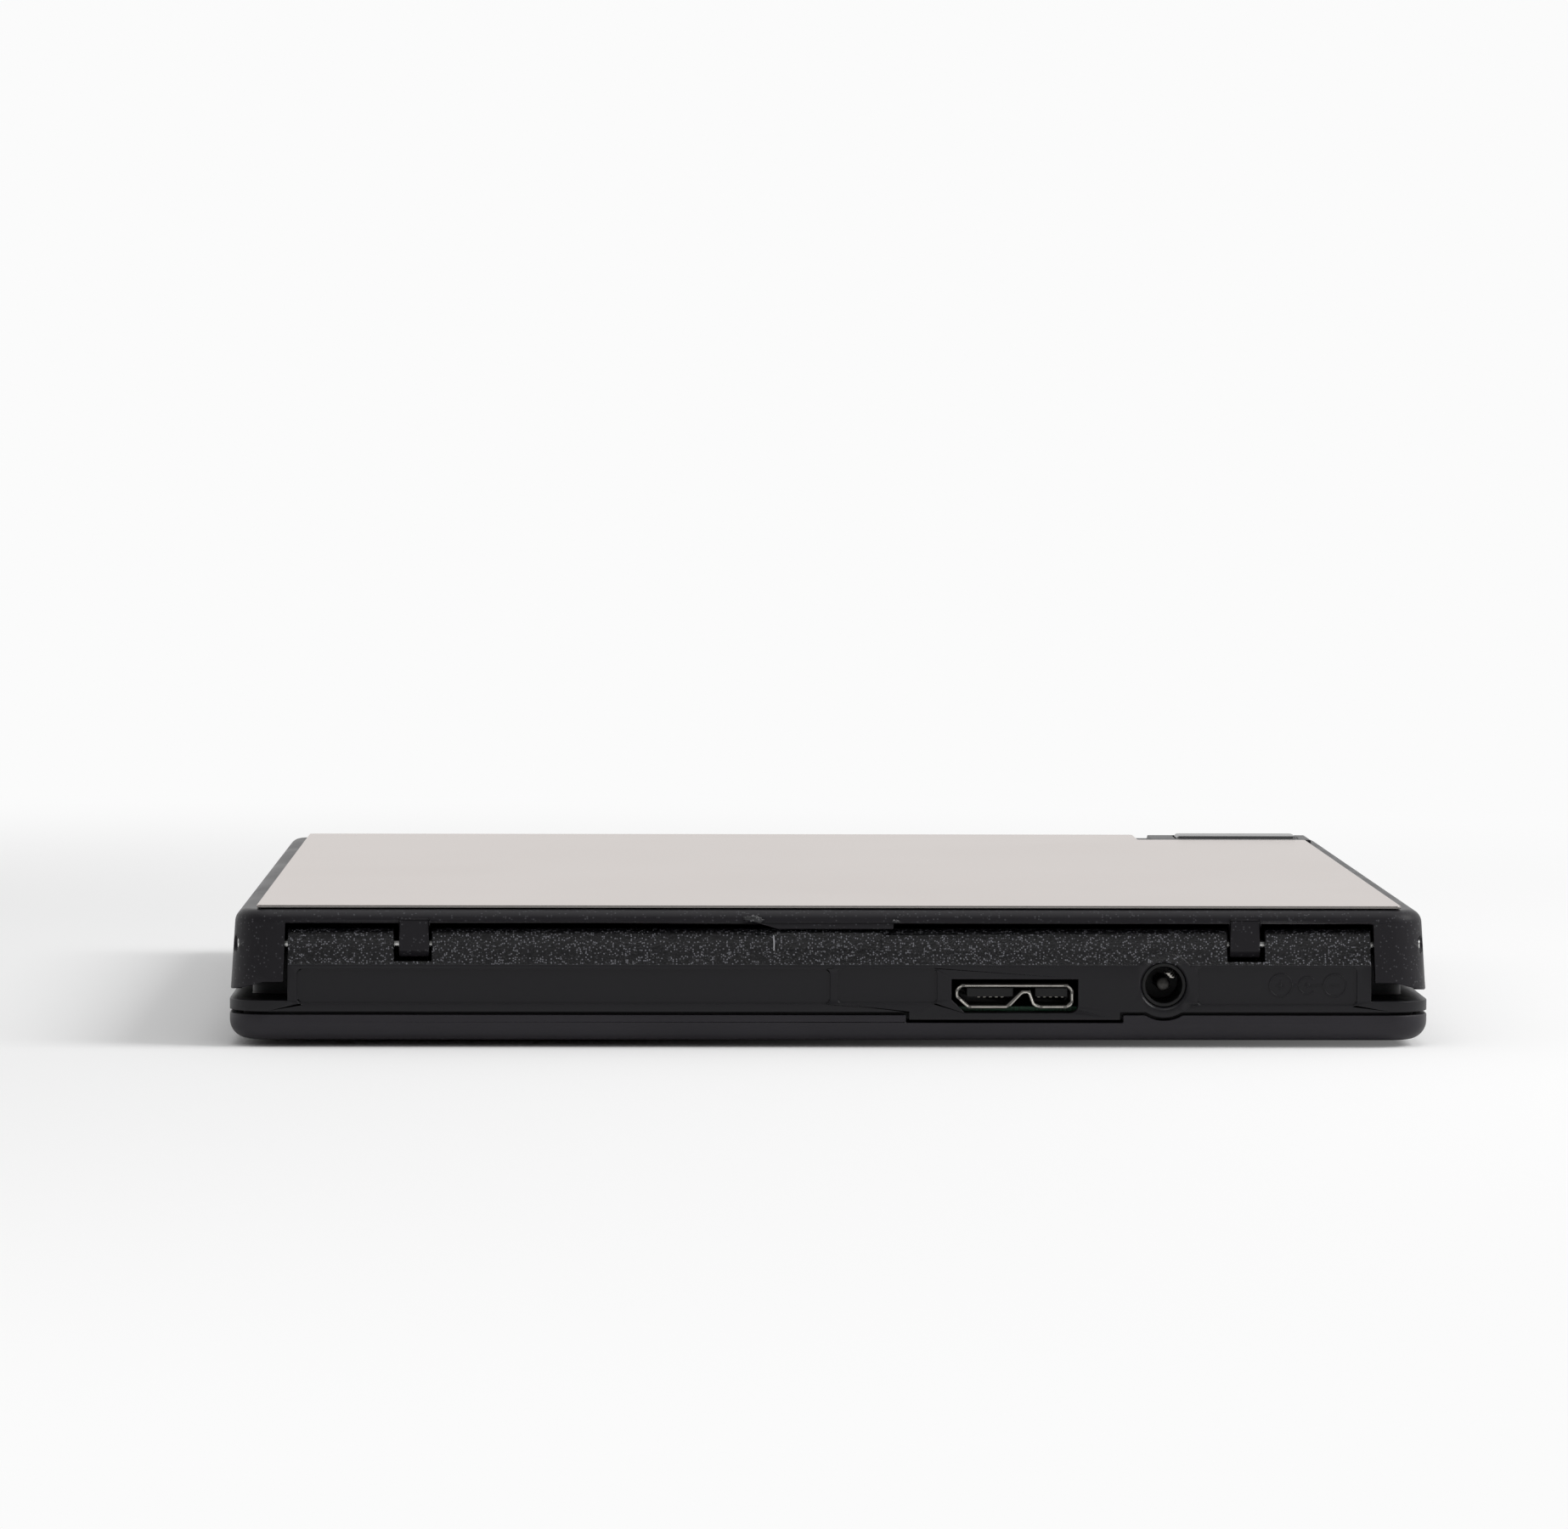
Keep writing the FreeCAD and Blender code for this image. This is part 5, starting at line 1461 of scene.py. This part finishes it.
@dataclass
class InnerPieces:
    """Small and inner pieces that keep their solid's shape.

    Attributes:
        skins: Node, finish and radius of the softened edges, in millimetres.
    """

    skins: Sequence[tuple[str, Finish, float]] = (
        ("latch_bar", Finishes.ACETAL, 0.08),
        ("usb_insulator", Finishes.INSULATOR, 0.0),
        ("dc_jack_body", Finishes.INSULATOR, 0.08),
        ("traverse_chassis", Finishes.PRESSED, 0.0),
        ("chassis_dampers", Finishes.RUBBER, 0.0),
        ("sled_motor", Finishes.PRESSED, 0.1),
        ("spindle_motor_base", Finishes.PRESSED, 0.08),
        ("motor_rotor", Finishes.PRESSED, 0.1),
        ("spindle_shaft", Finishes.STEEL, 0.05),
        ("turntable", Finishes.BASE, 0.06),
        ("chuck_claws", Finishes.ACETAL, 0.06),
        ("disc_pad", Finishes.RUBBER, 0.06),
        ("lid_bumpers", Finishes.RUBBER, 0.15),
        ("activity_light", Finishes.LIGHT, 0.06),
        ("pickup_body", Finishes.ZINC, 0.1),
        ("pickup_cover", Finishes.PRESSED, 0.05),
        ("drive_nut", Finishes.ACETAL, 0.08),
        ("lens_holder", Finishes.INSULATOR, 0.08),
        ("guide_rods", Finishes.STEEL, 0.08),
        ("hinge_pins", Finishes.STEEL, 0.08),
        ("board_chips", Finishes.RESIN, 0.08),
        ("main_board", Finishes.BOARD, 0.0),
        # The shell takes the darker tin plate: painted shade.
        ("usb_shell", Finishes.SHADED_TIN_PLATE, 0.0),
    )

    def make(self) -> None:
        """Dresses each of them."""
        for node, finish, edge in self.skins:
            DressedSkin(node, [finish], edge).make()


@dataclass
class PhotoCamera:
    """The camera of the photograph, in the part's own frame.

    Attributes:
        place: Where it stands.
        turn: How far it is turned away from looking along -Y, in radians.
        dip: How far it looks down, in radians.
        roll: How far it leans, in radians.
        focal_pixels: Its focal length in pixels of the photograph.
        photo_width: The photograph's width in pixels.
        sensor: The sensor's width in millimetres.
        sight: Nearest and farthest distance that it sees.
    """

    place: Point = (20.51 * MM, 871.42 * MM, 73.14 * MM)
    turn: float = 0.01908
    dip: float = 0.05187
    roll: float = 0.00256
    focal_pixels: float = 8603.35
    photo_width: float = 1846.0
    sensor: float = 36.0
    sight: Pair = (0.01, 100.0)

    def make(self) -> None:
        """Builds the camera and makes it the scene's own."""
        data = bpy.data.cameras.new("photo_camera")
        data.sensor_width = self.sensor
        data.lens = self.focal_pixels * self.sensor / self.photo_width
        data.clip_start, data.clip_end = self.sight
        ahead = Vector((-math.sin(self.turn), -math.cos(self.turn), 0)) * math.cos(self.dip)
        ahead.z = -math.sin(self.dip)
        level = Vector((-math.cos(self.turn), math.sin(self.turn), 0))
        above = level.cross(ahead)
        right = level * math.cos(self.roll) + above * math.sin(self.roll)
        up = above * math.cos(self.roll) - level * math.sin(self.roll)
        facing = Matrix((right, up, -ahead)).transposed().to_4x4()
        camera = bpy.data.objects.new("photo_camera", data)
        camera.matrix_world = Matrix.Translation(self.place) @ facing
        bpy.context.scene.collection.objects.link(camera)
        bpy.context.scene.camera = camera


@dataclass
class Studio:
    """A pale floor and soft lamps in front of a white backdrop.

    Attributes:
        floor_half: Half the floor's side.
        floor_colour: The floor's own colour.
        floor_roughness: Its roughness.
        floor_specular: Level of its mirror reflection.
        middle: Point of the floor from which the fade is measured.
        near: Distance from there up to which the floor shows its own shade.
        far: Distance from which it is as pale as the backdrop.
        sky: Brightness of the surroundings as they light the object.
        sky_seen: Brightness of the backdrop as it is seen.
        sky_through: Brightness of the surroundings through the lens.
        far_side: Brightness of the surroundings across from the camera, in reflections.
        camera_side: Brightness of the room behind the camera, in reflections.
        side_ends: Where a reflection's direction along Y leaves the far side, and reaches the camera's.
        lamps: Name, place, side and power of each lamp.
    """

    floor_half: float = 30.0
    floor_colour: Colour = (0.955, 0.955, 0.955)
    floor_roughness: float = 0.9
    floor_specular: float = 0.1
    middle: Point = (0.09, -0.02, 0.0)
    near: float = 0.1
    far: float = 0.4
    sky: float = 0.48
    sky_seen: float = 0.965
    sky_through: float = 1.0
    far_side: float = 1.06
    camera_side: float = 0.3
    side_ends: Pair = (-0.3, 0.5)
    lamps: Sequence[tuple[str, Point, float, float]] = (
        ("key", (-0.75, 0.14, 0.62), 0.5, 5.6),
        ("top", (0.05, 0.2, 1.1), 0.8, 2.2),
    )

    def make(self) -> None:
        """Builds the floor, the surroundings and the lamps."""
        self.make_floor()
        self.make_sky()
        for name, place, size, watts in self.lamps:
            self.make_lamp(name, Vector(place), size, watts)
        bpy.context.scene.view_settings.view_transform = "Standard"

    def make_floor(self) -> None:
        """Lays a matt floor under the feet, which fades into the backdrop away from the object."""
        work = bmesh.new()
        bmesh.ops.create_grid(work, x_segments=1, y_segments=1, size=self.floor_half)
        floor = shown("floor", mesh_of("floor", work))
        graph = MaterialTree("pale_floor")
        graph.fix({"Base Color": (*self.floor_colour, 1), "Roughness": self.floor_roughness})
        graph.fix({"Specular IOR Level": self.floor_specular})
        away = graph.add("ShaderNodeVectorMath", {0: graph.place, 1: self.middle}, operation="DISTANCE")
        ends = (self.near, self.far)
        share = graph.spread(away.outputs["Value"], ends, interpolation_type="SMOOTHSTEP")
        paths = graph.add("ShaderNodeLightPath").outputs
        behind = graph.add("ShaderNodeSeparateXYZ", {0: graph.place}).outputs["Y"]
        far_side = graph.reckon("LESS_THAN", behind, -self.near)
        mirrored = graph.reckon("MULTIPLY", paths["Is Glossy Ray"], far_side)
        seen = graph.reckon("MAXIMUM", paths["Is Camera Ray"], mirrored)
        both = graph.reckon("MULTIPLY", share, seen)
        white = graph.add("ShaderNodeEmission", {"Strength": self.sky_seen}).outputs[0]
        mixed = graph.add("ShaderNodeMixShader", {0: both, 1: graph.shader.outputs[0], 2: white})
        graph.tree.links.new(mixed.outputs[0], graph.tree.nodes["Material Output"].inputs["Surface"])
        floor.data.materials.append(graph.material)

    def make_sky(self) -> None:
        """Makes the surroundings white to the eye, and in reflections white but for the camera's side."""
        world = bpy.data.worlds.new("surroundings")
        world.use_nodes = True
        sky = NodeTree(world.node_tree)
        sky.tree.nodes.clear()
        paths = sky.add("ShaderNodeLightPath").outputs
        way = sky.add("ShaderNodeSeparateXYZ", {0: sky.add("ShaderNodeTexCoord").outputs["Generated"]})
        mirrored = sky.spread(way.outputs["Y"], self.side_ends, (self.far_side, self.camera_side))
        strength = sky.pick(paths["Is Glossy Ray"], self.sky, mirrored)
        strength = sky.pick(paths["Is Transmission Ray"], strength, self.sky_through)
        strength = sky.pick(paths["Is Camera Ray"], strength, self.sky_seen)
        light = sky.add("ShaderNodeBackground", {"Color": (1, 1, 1, 1), "Strength": strength})
        sky.add("ShaderNodeOutputWorld", {"Surface": light.outputs[0]})
        bpy.context.scene.world = world

    def make_lamp(self, name: str, place: Vector, size: float, watts: float) -> None:
        """Hangs one square soft lamp that faces the object.

        Args:
            name: The lamp's name.
            place: Where it hangs.
            size: Its side.
            watts: Its power.
        """
        data = bpy.data.lights.new(name, "AREA")
        data.size = size
        data.energy = watts
        lamp = bpy.data.objects.new(name, data)
        lamp.matrix_world = Matrix.Translation(place) @ place.to_track_quat("Z", "Y").to_matrix().to_4x4()
        bpy.context.scene.collection.objects.link(lamp)


def main() -> None:
    """Builds everything in order."""
    logging.basicConfig(level=logging.INFO, format="%(name)s: %(message)s")
    PhotoCamera().make()
    Studio().make()
    bars, copies = Bars(), Copies()
    sub_assemblies = (
        Case(),
        RearMarks(bars),
        UsbSocket(bars, copies),
        PowerSocket(bars),
        Fasteners(copies),
        LeadScrew(Thread()),
        Feet(copies),
        Lens(),
        InnerPieces(),
    )
    for part in sub_assemblies:
        part.make()


if __name__ == "__main__":
    main()
